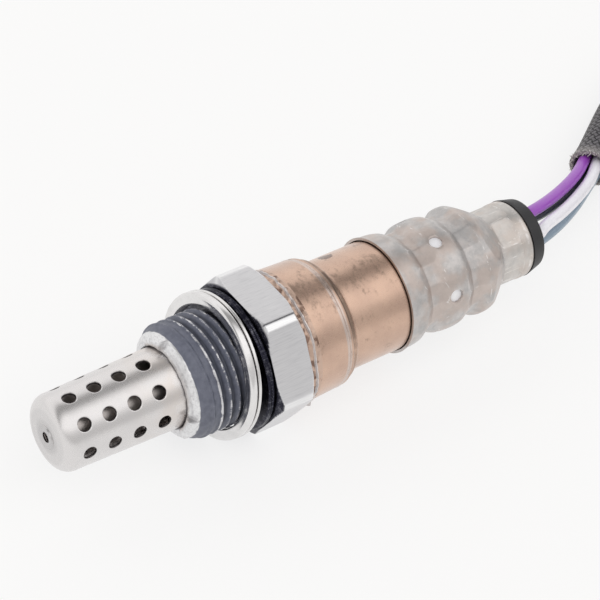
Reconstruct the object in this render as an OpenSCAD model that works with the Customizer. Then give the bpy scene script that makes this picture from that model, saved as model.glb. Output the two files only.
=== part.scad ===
// Four-wire oxygen sensor for an exhaust pipe, lying on one flat of its hexagon.
// Each round piece is drawn once as a profile of [radius, station] points, with
// stations counted along the sensor's axis from the tip of the shield.
// Millimetres. +X runs along the axis towards the lead, +Z is up.

/* [Shields] */
// Length of the outer shield in front of the housing
shield_len = 19.2; // [15:0.1:24]
// Radius of the outer shield behind its rounded tip
shield_tip_r = 5.85; // [5.4:0.05:6]
// Radius of the outer shield where the housing grips it
shield_root_r = 6.2; // [6:0.05:6.3]
// Radius of the rounded edge at the tip of the outer shield
shield_nose_r = 2; // [1:0.1:2.5]
// Radius of the inner shield
inner_shield_r = 4.4; // [4:0.05:4.7]
// Thickness of the sheet of both shields
shield_t = 0.4; // [0.3:0.05:0.5]
// Radius of the flanges by which the housing clamps both shields
shield_flange_r = 7; // [6.8:0.05:7.1]
// Diameter of a hole in the outer shield
hole_d = 2.1; // [1.2:0.1:2.4]
// Rings of holes in the outer shield
hole_rings = 4; // [2:1:4]
// Holes in each ring
hole_rows = 8; // [4:1:10]
// Distance from the tip to the first ring of holes
hole_first = 3.75; // [3.6:0.05:4.5]
// Distance from one ring of holes to the next
hole_pitch = 4.1; // [3:0.05:4.3]
// Direction of the first row of holes, turned from the top
hole_phi = -2; // [-20:1:20]

/* [Housing] */
// Length of the crimped collar in front of the thread
nose_len = 1.45; // [1.2:0.05:2]
// Radius of the collar where the thread starts
nose_r = 8.25; // [8.1:0.05:8.4]
// Outer diameter of the thread
thread_d = 18; // [17.8:0.1:20]
// Pitch of the thread
thread_pitch = 1.5; // [1.2:0.05:1.75]
// Length of the threaded part
thread_len = 6.7; // [5.5:0.1:10]
// Length of the neck between the thread and the seat
relief_len = 3.3; // [3:0.1:5]
// Radius of the neck
relief_r = 8; // [7.7:0.05:8.1]
// Length of the seat flange
seat_len = 1.2; // [0.8:0.1:2]
// How far the edge of the seat flange stays inside the flats of the hexagon
seat_inset = 0.1; // [0.05:0.05:0.4]
// Width of the hexagon across its flats
hex_af = 22; // [22:0.5:24]
// Length of the hexagon
hex_len = 6.3; // [5:0.1:9]
// Radius at which the corners of the hexagon are rounded off
hex_corner_r = 12.4; // [12:0.05:12.6]
// Radius of the collar behind the hexagon
collar_r = 9.6; // [9.3:0.05:9.65]
// Length of the collar behind the hexagon
collar_len = 5.8; // [5.4:0.1:6.2]

/* [Gasket] */
// Width of the folded gasket, from its bore to its edge
gasket_w = 1.8; // [1.5:0.05:1.8]
// Inner radius of the gasket
gasket_bore_r = 9.35; // [9.3:0.05:9.4]
// Thickness of the gasket
gasket_t = 1.9; // [1.6:0.05:2]
// Thickness of the rear leaf of the gasket
gasket_leaf = 0.55; // [0.4:0.05:0.7]
// Lean of the loose gasket
gasket_tilt = 6.5; // [0:0.5:6.5]
// Height by which the loose gasket is pushed up round the neck
gasket_lift = 0.22; // [0.2:0.01:0.25]
// Distance from the neck's front end to the middle of the gasket
gasket_back = 0.75; // [0.7:0.05:0.9]

/* [Sleeve] */
// Length of the weld bead between hexagon and sleeve
bead_len = 2.4; // [1.8:0.1:3]
// Height of the weld bead over the sleeve
bead_rise = 0.65; // [0.3:0.05:0.65]
// Radius of the wide front part of the sleeve
sleeve_r = 10.3; // [10.25:0.05:10.5]
// Length of the wide front part of the sleeve
sleeve_len = 4.8; // [4:0.1:7]
// Length over which the sleeve rounds down to its narrow part
neck_len = 2.65; // [2.2:0.05:4]
// Radius of the narrow part of the sleeve
slim_r = 8.65; // [8.5:0.05:8.7]
// Length of the narrow part of the sleeve that shows
slim_len = 10.1; // [8:0.1:14]
// Radius of the sleeve's rear tube, under the cover
tube_r = 6.85; // [6.7:0.05:6.9]
// Thickness of the sleeve's sheet
sleeve_t = 0.5; // [0.4:0.05:0.55]

/* [Cover] */
// Length of the cover from its mouth to the first crimp
skirt_len = 4.65; // [4:0.05:6]
// Radius of the cover's skirt
skirt_r = 9; // [8.95:0.05:9.3]
// How far the mouth of the cover is flared out
flare = 0.2; // [0.1:0.05:0.4]
// Length of a crimped land
land_len = 1.55; // [1.2:0.05:2]
// Distance of a crimped facet from the axis
land_flat = 7.8; // [7.75:0.05:7.85]
// Facets on a crimped land, one for each jaw
land_jaws = 16; // [14:1:20]
// Direction of the first edge between two facets
land_phi = 8; // [0:1:20]
// Length of the rolled band between the two crimps
band_len = 6.2; // [5.5:0.05:8]
// Radius of the rolled band
band_r = 8.8; // [8.6:0.05:9]
// Length of the rounded shoulder behind the second crimp
shoulder_len = 6.3; // [5.8:0.05:8]
// Largest radius of the shoulder
shoulder_r = 8.7; // [8.5:0.05:8.9]
// Length of the barrel that grips the grommet
barrel_len = 5.65; // [5:0.05:8]
// Radius of the barrel over the ribs between its pressed panels
barrel_r = 6.05; // [6:0.05:6.1]
// Distance of a pressed panel from the axis
panel_r = 5.65; // [5.55:0.05:5.7]
// Direction of the first pressed panel
panel_phi = 28; // [0:1:59]
// Length of the round lip at the end of the barrel
lip_len = 1.9; // [1.5:0.05:2.2]
// Radius of the lip
lip_r = 6.15; // [6.1:0.05:6.3]
// Thickness of the cover's sheet
cover_t = 0.4; // [0.3:0.05:0.4]
// Diameter of a vent hole
vent_d = 2.1; // [1.2:0.1:2.4]
// Distance from the first crimp to the vent holes
vent_back = 2.4; // [2.2:0.05:3]
// Direction of the first vent hole
vent_phi = 12; // [0:1:59]
// Thickness of the membrane behind the vent holes
membrane_t = 0.5; // [0.3:0.05:0.5]

/* [Element] */
// Width of the ceramic strip
strip_w = 4; // [3.6:0.1:4.2]
// Thickness of the ceramic strip
strip_t = 1.4; // [1.2:0.1:1.5]
// Distance from the tip of the shield to the strip
strip_front = 4; // [3:0.1:6]
// Radius of the bore that holds the front insulator
bore_r = 5; // [4.9:0.05:5.2]
// Radius of the bore that holds the rear insulator
wide_bore_r = 7.5; // [7.3:0.05:7.6]
// Length of the packed powder seal
talc_len = 4; // [3:0.1:5]
// Length of the rear insulator
insulator_len = 10; // [9:0.1:10.4]
// Radius of the ceramic contact holder
holder_r = 6; // [5.8:0.05:6.1]
// Length of the ceramic contact holder
holder_len = 12; // [10:0.1:12]
// Distance from the sleeve's narrow part to the contact holder
holder_back = 2; // [1:0.1:3]

/* [Lead] */
// Diameter of one wire
wire_d = 1.9; // [1.5:0.05:2]
// Distance of each wire from the axis
wire_pcr = 2.85; // [2.75:0.05:2.95]
// Length of the grommet's flange behind the cover
flange_len = 2.35; // [1.5:0.05:4]
// Radius of the grommet's flange next to the cover
flange_r = 6.2; // [5.9:0.05:6.3]
// Radius of the grommet's flange at its end
flange_end_r = 5.62; // [5.2:0.02:5.9]
// Length of the grommet inside the cover
grommet_len = 14; // [12:0.1:14.4]
// Diameter of the braided sleeve
braid_d = 6.6; // [6:0.1:6.6]
// Radius of the coil at its outer turn
coil_r = 36.5; // [34:0.5:36.5]
// Length of the connector
plug_len = 30; // [28:0.5:34]
// Width of the connector
plug_w = 17; // [16:0.5:18]
// Height of the connector
plug_h = 10; // [9:0.5:12]
// Distance from one terminal to the next
plug_pitch = 3.5; // [3.3:0.1:3.6]

/* [Hidden] */
$fn = 72;

// Clearance left between pieces that are pressed or crimped together
fit_gap = 0.05;
// How far one solid reaches into the next where both make one piece
bite = 0.3;

// Outer radii that follow from a neighbour
seat_r = hex_af / 2 - seat_inset;
gasket_r = gasket_bore_r + gasket_w;
bead_r = sleeve_r + bead_rise;

// Radius of a land before its facets are pressed, just over the edges between them
land_r = land_flat / cos(180 / land_jaws) + 0.05;

// Stations along the axis
s_thread = shield_len + nose_len;
s_relief = s_thread + thread_len;
s_seat = s_relief + relief_len;
s_hex = s_seat + seat_len;
s_bead = s_hex + hex_len;
s_sleeve = s_bead + bead_len;
s_neck = s_sleeve + sleeve_len;
s_slim = s_neck + neck_len;
s_mouth = s_slim + slim_len;
s_land_1 = s_mouth + skirt_len;
s_band = s_land_1 + land_len;
s_land_2 = s_band + band_len;
s_shoulder = s_land_2 + land_len;
s_barrel = s_shoulder + shoulder_len;
s_lip = s_barrel + barrel_len - lip_len;
s_flange = s_barrel + barrel_len;
s_end = s_flange + flange_len;
s_vent = s_band + vent_back;

// The clamped flanges of the shields, and the lip that is crimped over them
s_lip_front = shield_len + 0.35;
s_clamp = s_thread - 0.55;
s_clamp_end = s_clamp + 2 * shield_t;
lip_edge_r = shield_root_r + 0.35;
tab_t = 0.85;
tab_phi = [-26, 110, 222];
tab_angle = 38;

// The thread, with full crests up to the last, thin one at the neck
crest_r = thread_d / 2;
root_r = crest_r - 0.61 * thread_pitch;
crest_w = 0.35;
flank_w = (thread_pitch - crest_w) / 2 - 0.05;
last_crest = s_relief - 0.55;
crest_count = floor((thread_len - 0.55 - 0.9) / thread_pitch);
first_crest = last_crest - crest_count * thread_pitch;

// Seats of the inner pieces
s_step = s_clamp_end + 0.7;
step_r = inner_shield_r - 0.1;
s_wide = s_seat + 0.35;
s_talc = s_wide - talc_len;
s_packing = s_wide + insulator_len;
packing_t = 1;
s_rim = s_packing + packing_t + fit_gap;
s_collar_end = s_bead + collar_len;
rim_r = wide_bore_r - 0.8;
s_holder = s_slim + holder_back;
s_holder_end = s_holder + holder_len;
ring_back = 1;
ring_len = 4;
clip_t = 0.4;
clip_w = 1;
plate_t = 0.8;
s_clip_end = s_holder_end + fit_gap + plate_t;
crimp_r = wire_d / 2 + 0.35;
crimp_len = 4.5;
s_wire = s_clip_end + crimp_len - 3;
s_grommet = s_flange - grommet_len;
wire_phi = [-20, 70, 160, 250];
// The strip is turned so that its contacts face the wires
strip_phi = wire_phi[1] - 45;

// The sensor lies along X with its middle over the origin
x_off = -s_end / 2;
axis_h = hex_af / 2;

// The lead: each wire's route from the grommet to the mouth of the braided sleeve
purple_route = [[46.9, 1.8, 12.8], [52.5, 4.1, 10.8], [58.8, 7.2, 8.5],
    [64.6, 10.5, 6.5], [70, 14.4, 4.2]];
white_route = [[47.1, -1.6, 11.2], [53.2, 1.1, 9.5], [60.1, 4.7, 7.5],
    [66.3, 8.4, 5.8], [71.4, 12.4, 4.3]];
blue_grey_route = [[47.1, 0, 7.7], [53.1, 2.2, 6.2], [60, 5.3, 4.3],
    [66.2, 8.7, 2.8], [71.5, 12.6, 2.1]];
black_route = [[46.9, 3.3, 9.3], [52.6, 5.1, 7.4], [58.9, 7.7, 5.2],
    [64.7, 10.6, 3.3], [70.3, 14.1, 2.1]];
// The braided sleeve's route along the table, up to its coil
braid_route = [[71.1, 13.4, 3.4], [80.2, 19.4, 3.4], [88.4, 24.2, 3.4],
    [96.2, 27.7, 3.4]];
// The coil, whose turns lie side by side
coil_centre = [126, -3.3];
coil_turns = 2;
coil_in = coil_r - (coil_turns - 0.5) * braid_d;
coil_out = coil_r + braid_d / 2;
// Each wire's route from the coil to the connector
tail_start = [[100.7, 0.1, 4.7], [100.5, -3.7, 3.3], [100.9, -8, 4.4], [101.3, -9.6, 2.6]];
tail_middle = [[105.2, 3.5, 4.9], [105.2, 0, 4.4], [105.3, -3.6, 4.7], [106.3, -6.1, 3.9]];
tail_x = 111;
plug_x = 117.5;
plug_y = -0.5;
wire_z = plug_h / 2;
seal_len = 5;
cavity_w = 2.5;
terminal_w = 2.1;

// Turns an axial piece, drawn upwards, onto the sensor's axis:
// the profile's x points up, its y points to -Y and its z runs along +X.
module place()
    translate([x_off, 0, axis_h])
        rotate([0, 90, 0])
            rotate([0, 0, 180])
                children();

// Direction to the left of the way from a to b
function left(a, b) = [a[1] - b[1], b[0] - a[0]] / norm(b - a);

// Shift of point i when the whole path moves to its left by 1
function mitre(p, i) =
    let (last = len(p) - 1,
        before = left(p[max(i - 1, 0)], p[max(i, 1)]),
        after = left(p[min(i, last - 1)], p[min(i + 1, last)]))
    (before + after) / (1 + before * after);

// The path moved to its left, which is inwards for one that runs to the rear
function inside(p, t) = [for (i = [0:len(p) - 1]) p[i] + t * mitre(p, i)];

function reversed(p) = [for (i = [len(p) - 1:-1:0]) p[i]];

// A path of sheet metal with its outer side on the path
module sheet(p, t) polygon(concat(p, reversed(inside(p, t))));

// Points of an arc round a centre
function arc(centre, r, from, to, steps) =
    [for (i = [0:steps]) let (a = from + (to - from) * i / steps)
        centre + r * [cos(a), sin(a)]];

// A radial drill at one station and direction
module drill(station, phi, d, from, to)
    rotate([0, 0, phi])
        translate([from, 0, station])
            rotate([0, 90, 0])
                cylinder(h = to - from, d = d, $fn = 32);

// A rectangular block along the axis, in the strip's own turned frame
module strip_block(x, y, from, to)
    rotate([0, 0, strip_phi])
        translate([-x / 2, -y / 2, from])
            cube([x, y, to - from]);

// The gap in the ceramics through which the strip passes
module strip_slot()
    strip_block(strip_t + 2 * fit_gap, strip_w + 2 * fit_gap, -1, s_end);

// Outer side of the outer shield, from the hole in its tip to its flange
shield_path = concat(
    [[0.8, 0], [2.4, 0], [3, 0.25]],
    arc([shield_tip_r - shield_nose_r, shield_nose_r + 0.25], shield_nose_r, -90, 0, 8),
    [[shield_root_r, shield_len - 0.8], [shield_root_r, s_clamp - 0.3],
     [shield_root_r + 0.1, s_clamp - 0.08], [shield_root_r + 0.3, s_clamp],
     [shield_flange_r, s_clamp]]);

module outer_shield()
    color("silver")
        place()
            difference() {
                rotate_extrude() sheet(shield_path, shield_t);
                for (ring = [0:hole_rings - 1], row = [0:hole_rows - 1])
                    drill(hole_first + ring * hole_pitch, hole_phi + row * 360 / hole_rows,
                        hole_d, inner_shield_r, shield_flange_r + 1);
            }

// Outer side of the inner shield
inner_path = concat(
    [[1.2, 1.6]],
    arc([inner_shield_r - 1, 2.6], 1, -90, 0, 6),
    [[inner_shield_r, s_clamp + shield_t - 0.25],
     [inner_shield_r + 0.25, s_clamp + shield_t],
     [shield_flange_r, s_clamp + shield_t]]);

module inner_shield()
    color("darkgray")
        place()
            difference() {
                rotate_extrude() sheet(inner_path, shield_t);
                for (row = [0:5])
                    drill(hole_first + hole_pitch / 2, hole_phi + 22 + row * 60,
                        1.4, strip_t, inner_shield_r + 1);
            }

// One full ridge of the thread
function ridge(station) = [
    [root_r, station - crest_w / 2 - flank_w],
    [crest_r, station - crest_w / 2],
    [crest_r, station + crest_w / 2],
    [root_r, station + crest_w / 2 + flank_w]];

housing_profile = concat(
    [[shield_root_r + fit_gap, s_lip_front], [lip_edge_r, s_lip_front], [nose_r, s_thread]],
    [for (i = [0:crest_count - 1]) each ridge(first_crest + i * thread_pitch)],
    [[root_r, last_crest - flank_w - crest_w / 2], [crest_r, last_crest],
     [relief_r, last_crest + 0.8], [relief_r, s_seat - 0.3], [relief_r + 0.1, s_seat - 0.1],
     [relief_r + 0.3, s_seat], [seat_r - 0.3, s_seat], [seat_r, s_seat + 0.3],
     [seat_r, s_hex - 0.3], [seat_r - 0.3, s_hex], [seat_r - 0.3, s_bead],
     [collar_r, s_bead], [collar_r, s_collar_end - 1],
     [collar_r - 1.2, s_collar_end], [rim_r, s_collar_end],
     [rim_r, s_rim + 0.8], [wide_bore_r, s_rim], [wide_bore_r, s_wide],
     [bore_r, s_wide], [bore_r, s_step], [step_r, s_step], [step_r, s_clamp_end],
     [shield_flange_r + fit_gap, s_clamp_end], [shield_flange_r + fit_gap, s_clamp]]);

// The hexagon, with its corners rounded off and a chamfer towards each end
module hexagon()
    translate([0, 0, s_hex])
        intersection() {
            rotate([0, 0, 30])
                cylinder(h = hex_len, r = hex_af / 2 / cos(30), $fn = 6);
            rotate_extrude()
                polygon([[0, 0], [hex_af / 2 + 0.25, 0], [hex_corner_r, 0.7],
                    [hex_corner_r, hex_len - 0.5], [hex_corner_r - 0.9, hex_len],
                    [0, hex_len]]);
            }

module hex_bore()
    translate([0, 0, s_hex - bite])
        cylinder(h = hex_len + 2 * bite, r = wide_bore_r);

// A stretch of the collar's edge that still stands up, beside the crimped stretches
module tab(phi)
    rotate([0, 0, phi - tab_angle / 2])
        rotate_extrude(angle = tab_angle)
            translate([shield_flange_r + fit_gap, shield_len])
                square([tab_t, s_thread - shield_len]);

// What the crimp took away behind a standing tab
module tab_pocket(phi)
    rotate([0, 0, phi - tab_angle / 2])
        rotate_extrude(angle = tab_angle)
            translate([shield_root_r, shield_len - 1])
                square([shield_flange_r - shield_root_r + fit_gap, s_clamp - shield_len + 1]);

module housing()
    color("lightsteelblue")
        place() {
            difference() {
                rotate_extrude() polygon(housing_profile);
                for (phi = tab_phi) tab_pocket(phi);
            }
            difference() {
                hexagon();
                hex_bore();
            }
            for (phi = tab_phi) tab(phi);
        }

// The folded gasket: a thick front fold and a thin rear leaf with a slit between them
slit_w = 0.2;
fold_t = gasket_t - gasket_leaf - slit_w;
gasket_profile = [
    [gasket_bore_r, 0.3], [gasket_bore_r + 0.25, 0],
    [gasket_r - 0.5, 0], [gasket_r - 0.15, 0.15], [gasket_r, 0.45],
    [gasket_r, fold_t - 0.2], [gasket_r - 0.2, fold_t],
    [gasket_bore_r + 0.6, fold_t], [gasket_bore_r + 0.6, fold_t + slit_w],
    [gasket_r, fold_t + slit_w], [gasket_r, gasket_t],
    [gasket_bore_r + 0.2, gasket_t], [gasket_bore_r, gasket_t - 0.2]];
stake_phi = [-38, 52, 142, 232];

// The ring leans about its own middle. Four staked points keep it behind the thread.
module gasket()
    color("gainsboro")
        place()
            translate([gasket_lift, 0, s_relief + gasket_back])
                rotate([0, -gasket_tilt, 0])
                    translate([0, 0, -gasket_t / 2]) {
                        rotate_extrude() polygon(gasket_profile);
                        for (phi = stake_phi) stake(phi);
                    }

module stake(phi)
    rotate([0, 0, phi])
        translate([relief_r + 0.5, -0.6, gasket_t - gasket_leaf])
            cube([gasket_bore_r - relief_r, 1.2, gasket_leaf - 0.15]);

module weld_bead()
    color("peru")
        place()
            rotate_extrude()
                polygon([[collar_r, s_bead], [bead_r - 0.5, s_bead],
                    [bead_r - 0.12, s_bead + 0.35], [bead_r, s_bead + 0.9],
                    [bead_r - 0.1, s_bead + 1.5], [bead_r - 0.4, s_sleeve],
                    [collar_r, s_sleeve]]);

// Outer side of the sleeve: wide front, rounded neck, narrow part and rear tube
neck_path = [for (i = [0:8]) let (t = i / 8)
    [slim_r + 0.1 + (sleeve_r - 0.3 - slim_r) * pow(1 - t * t, 0.7), s_neck + t * neck_len]];
sleeve_path = concat(
    [[sleeve_r, s_sleeve], [sleeve_r, s_sleeve + 0.5]],
    neck_path,
    [[slim_r, s_slim + 0.3], [slim_r, s_mouth - 0.3], [slim_r - 0.35, s_mouth + 1.5],
     [slim_r - 0.7, s_mouth + 2.1], [tube_r + 0.3, s_mouth + 2.9],
     [tube_r, s_mouth + 3.5], [tube_r, s_barrel - 1.95]]);

module protective_sleeve()
    color("rosybrown")
        place()
            difference() {
                rotate_extrude() sheet(sleeve_path, sleeve_t);
                for (i = [0:5])
                    drill(s_vent, vent_phi + 60 * i, vent_d, tube_r - 1, tube_r + 1);
            }

// Outer side of the cover, up to its barrel
skirt_path = [for (i = [0:8]) let (t = 0.2 + 0.8 * i / 8)
    [land_r + (skirt_r - land_r) * (1 - pow(t, 5)), s_mouth + t * skirt_len]];
band_path = [for (i = [1:13]) let (t = i / 14)
    [land_r + (band_r - land_r) * (1 - pow(2 * t - 1, 4)), s_band + t * band_len]];
rise_len = 1.35;
rise_path = [for (i = [1:4]) let (t = i / 4)
    [land_r + (shoulder_r - land_r) * (1 - pow(1 - t, 2)), s_shoulder + t * rise_len]];
fall_path = [for (i = [1:11]) let (t = i / 12)
    [panel_r + 0.2 + (shoulder_r - panel_r - 0.2) * pow(1 - pow(t, 3), 1.7),
     s_shoulder + rise_len + t * (shoulder_len - rise_len)]];
crimped_path = concat(skirt_path, [[land_r, s_band]], band_path,
    [[land_r, s_land_2], [land_r, s_shoulder]], rise_path);
cover_path = concat([[skirt_r + flare, s_mouth]], crimped_path, fall_path,
    [[panel_r + 0.2, s_barrel + bite]]);
lip_path = [[panel_r + 0.3, s_lip - bite], [lip_r, s_lip + 0.4],
    [lip_r, s_flange - 0.3], [lip_r - 0.15, s_flange]];

// Section of the barrel, or of what it holds: round ribs between six flat panels
module barrel_section(inset)
    intersection() {
        circle(r = barrel_r - inset);
        rotate(panel_phi + 30)
            circle(r = (panel_r - inset) / cos(30), $fn = 6);
    }

// What the jaws of the crimping tool press flat round one land
module jaw_marks(station)
    translate([0, 0, station])
        linear_extrude(land_len)
            difference() {
                circle(r = band_r + 1);
                polygon([for (i = [0:land_jaws - 1])
                    (land_r - 0.05) * [cos(land_phi + i * 360 / land_jaws),
                        sin(land_phi + i * 360 / land_jaws)]]);
            }

module cover_shell()
    color("tan")
        place()
            difference() {
                union() {
                    rotate_extrude() sheet(cover_path, cover_t);
                    translate([0, 0, s_barrel])
                        linear_extrude(s_lip - s_barrel)
                            difference() {
                                barrel_section(0);
                                barrel_section(cover_t);
                            }
                    rotate_extrude() sheet(lip_path, cover_t);
                }
                jaw_marks(s_land_1);
                jaw_marks(s_land_2);
                for (i = [0:5])
                    drill(s_vent, vent_phi + 60 * i, vent_d, band_r - 1, band_r + 1);
            }

// The porous tube that the cover crimps onto the sleeve
module vent_membrane()
    color("white")
        place()
            rotate_extrude()
                sheet(inside([for (p = crimped_path) if (p[1] > s_mouth + 3.5) p],
                    cover_t + fit_gap), membrane_t);

// The grommet: a round body in the sleeve, a pressed waist in the barrel and a flange
grommet_profile = [[0, s_grommet], [tube_r - sleeve_t - fit_gap, s_grommet],
    [tube_r - sleeve_t - fit_gap, s_barrel - 2.1],
    [panel_r - cover_t - fit_gap, s_barrel - 0.6],
    [panel_r - cover_t - fit_gap, s_flange], [0, s_flange]];

module grommet()
    color("dimgray")
        place()
            difference() {
                union() {
                    rotate_extrude() polygon(grommet_profile);
                    translate([0, 0, s_barrel + bite + fit_gap])
                        linear_extrude(s_lip - s_barrel - 2 * bite - 2 * fit_gap)
                            barrel_section(cover_t + fit_gap);
                    translate([0, 0, s_flange])
                        cylinder(h = flange_len, r1 = flange_r, r2 = flange_end_r);
                }
                for (phi = wire_phi)
                    rotate([0, 0, phi])
                        translate([wire_pcr, 0, s_grommet - 1])
                            cylinder(h = grommet_len + flange_len + 2, r = wire_d / 2 + fit_gap);
            }

module sensing_element()
    color("whitesmoke")
        place()
            strip_block(strip_t, strip_w, strip_front, s_holder_end);

module ceramic(from, to, r)
    place()
        difference() {
            translate([0, 0, from]) cylinder(h = to - from, r = r);
            strip_slot();
        }

module front_insulator()
    color("ivory") ceramic(s_step, s_talc, bore_r - fit_gap);

module talc_packing()
    color("lightgray") ceramic(s_talc, s_wide, bore_r - fit_gap);

module rear_insulator()
    color("ivory") ceramic(s_wide, s_packing, wide_bore_r - fit_gap);

module packing_ring()
    color("gray")
        place()
            translate([0, 0, s_packing])
                difference() {
                    cylinder(h = packing_t, r = wide_bore_r - fit_gap);
                    translate([0, 0, -1]) cylinder(h = packing_t + 2, r = rim_r);
                }

// The holder has one pocket for the strip and the four contacts beside it
module contact_holder()
    color("ivory")
        place()
            difference() {
                translate([0, 0, s_holder]) cylinder(h = holder_len, r = holder_r);
                strip_block(strip_t + 2 * clip_t + 4 * fit_gap, strip_w + 2 * fit_gap, -1, s_end);
            }

// The sprung ring that centres the contact holder in the sleeve
module holder_ring()
    color("silver")
        place()
            translate([0, 0, s_holder + ring_back])
                difference() {
                    cylinder(h = ring_len, r = slim_r - sleeve_t - fit_gap);
                    translate([0, 0, -1]) cylinder(h = ring_len + 2, r = holder_r + fit_gap);
                }

// A contact: a finger on the strip, a plate behind the holder and a crimp on the wire.
// It is drawn beside the strip and mirrored to its own corner.
module contact_clip(mx, my)
    color("goldenrod")
        place()
            rotate([0, 0, strip_phi])
                mirror([mx, 0, 0])
                    mirror([0, my, 0])
                        difference() {
                            union() {
                                translate([strip_t / 2 + fit_gap, 0.45, s_holder + 2])
                                    cube([clip_t, clip_w, s_clip_end - s_holder - 2]);
                                translate([strip_t / 2 + fit_gap, 0.45, s_clip_end - plate_t])
                                    cube([crimp_at - strip_t / 2, crimp_at, plate_t]);
                                translate([crimp_at, crimp_at, s_clip_end - plate_t])
                                    cylinder(h = crimp_len + plate_t, r = crimp_r);
                            }
                            translate([crimp_at, crimp_at, s_wire - fit_gap])
                                cylinder(h = crimp_len, r = wire_d / 2 + fit_gap);
                        }
crimp_at = wire_pcr / sqrt(2);

// Point of a wire on the grommet's side, in the part's frame
function at_wire(i, station) = [x_off + station, -wire_pcr * sin(wire_phi[i]),
    axis_h + wire_pcr * cos(wire_phi[i])];

function unit(v) = v / norm(v);

// Direction of a route at point i, halfway between the stretches that meet there
function heading(p, i) =
    let (last = len(p) - 1,
        before = unit(p[max(i, 1)] - p[max(i - 1, 0)]),
        after = unit(p[min(i + 1, last)] - p[min(i, last - 1)]))
    unit(before + after);

// A round tube along a route, with one ring of corners at each point
module tube(route, d, sides) {
    last = len(route) - 1;
    corners = [for (i = [0:last])
        let (h = heading(route, i), w = unit(cross(h, [0, 0, 1])), u = cross(w, h))
        for (k = [0:sides - 1])
            route[i] + d / 2 * (cos(360 * k / sides) * w + sin(360 * k / sides) * u)];
    walls = [for (i = [0:last - 1], k = [0:sides - 1])
        let (a = i * sides + k, b = i * sides + (k + 1) % sides)
        [a, a + sides, b + sides, b]];
    polyhedron(corners, concat([[for (k = [0:sides - 1]) k]], walls,
        [[for (k = [sides - 1:-1:0]) last * sides + k]]));
}

// A wire of the lead, from its contact through the grommet to the braided sleeve
module wire(i, route)
    tube(concat([at_wire(i, s_wire), at_wire(i, s_end)], route), wire_d, 8);

module braided_sleeve()
    color("#34343a") tube(braid_route, braid_d, 12);

// Outer shape of the coiled part of the braided sleeve
module sleeve_coil()
    color("#34343a")
        translate([coil_centre[0], coil_centre[1], 0])
            rotate_extrude()
                polygon([[coil_in + 1.5, 0], [coil_out - 1.5, 0], [coil_out, 1.5],
                    [coil_out, braid_d - 1.5], [coil_out - 1.5, braid_d],
                    [coil_in + 1.5, braid_d], [coil_in, braid_d - 1.5], [coil_in, 1.5]]);

function slot_y(i) = plug_y + (1.5 - i) * plug_pitch;

// A wire between the coil and the connector
module tail(i)
    tube([tail_start[i], tail_middle[i], [tail_x, slot_y(i), wire_z],
        [plug_x + seal_len + 1, slot_y(i), wire_z]], wire_d, 8);

// Body of the connector, with a pocket for the seal and a cavity for each terminal
module connector_housing()
    color("dimgray")
        difference() {
            union() {
                translate([plug_x, plug_y, 0])
                    rotate([90, 0, 90])
                        linear_extrude(plug_len)
                            polygon([[-plug_w / 2 + 1, 0], [plug_w / 2 - 1, 0], [plug_w / 2, 1],
                                [plug_w / 2, plug_h - 1], [plug_w / 2 - 1, plug_h],
                                [1 - plug_w / 2, plug_h], [-plug_w / 2, plug_h - 1],
                                [-plug_w / 2, 1]]);
                latch();
            }
            translate([plug_x - 1, plug_y - 2 * plug_pitch, wire_z - 1.75])
                cube([seal_len + 1, 4 * plug_pitch, 3.5]);
            for (i = [0:3])
                translate([plug_x, slot_y(i) - cavity_w / 2, wire_z - cavity_w / 2])
                    cube([plug_len - 2, cavity_w, cavity_w]);
            for (i = [0:3])
                translate([plug_x + 1, slot_y(i) - 0.8, wire_z - 0.8])
                    cube([plug_len, 1.6, 1.6]);
            translate([plug_x + lock_x, plug_y - lock_w / 2, wire_z + 1.3])
                cube([3, lock_w, plug_h]);
        }
lock_x = 21;
lock_w = 4 * plug_pitch - 0.6;

// Sprung arm that holds the connector in its mate
module latch()
    translate([plug_x + latch_x, plug_y - latch_w / 2, plug_h]) {
        translate([0, 0, -bite]) cube([2.5, latch_w, bite + latch_rise + latch_t]);
        translate([0, 0, latch_rise]) cube([latch_len, latch_w, latch_t]);
        translate([0.75 * latch_len, 0, latch_rise]) cube([2, latch_w, 1.8 * latch_t]);
    }
latch_x = 5;
latch_w = 6;
latch_len = 14;
latch_rise = 1;
latch_t = 1;

module terminal_lock()
    color("firebrick")
        translate([plug_x + lock_x + fit_gap, plug_y - lock_w / 2 + fit_gap, wire_z + 1.3])
            cube([3 - 2 * fit_gap, lock_w - 2 * fit_gap, plug_h - wire_z - 1.3 - 0.4]);

module rear_seal()
    color("slategray")
        difference() {
            translate([plug_x + 0.2, plug_y - 2 * plug_pitch + fit_gap, wire_z - 1.75 + fit_gap])
                cube([seal_len - 0.2, 4 * plug_pitch - 2 * fit_gap, 3.5 - 2 * fit_gap]);
            for (i = [0:3])
                translate([plug_x - 1, slot_y(i), wire_z])
                    rotate([0, 90, 0])
                        cylinder(h = seal_len + 2, r = wire_d / 2 + fit_gap);
        }

// A terminal: a box with a blind end that grips the wire and a socket for the pin
module terminal(i)
    color("goldenrod")
        difference() {
            translate([plug_x + seal_len + 0.2, slot_y(i) - terminal_w / 2, wire_z - terminal_w / 2])
                cube([plug_len - seal_len - 2.6, terminal_w, terminal_w]);
            translate([plug_x, slot_y(i), wire_z])
                rotate([0, 90, 0])
                    cylinder(h = seal_len + 1 + fit_gap, r = wire_d / 2 + fit_gap);
            translate([plug_x + plug_len - socket_len, slot_y(i) - socket_w / 2,
                wire_z - socket_w / 2])
                cube([socket_len, socket_w, socket_w]);
        }
socket_len = 10;
socket_w = 1.4;

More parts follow.
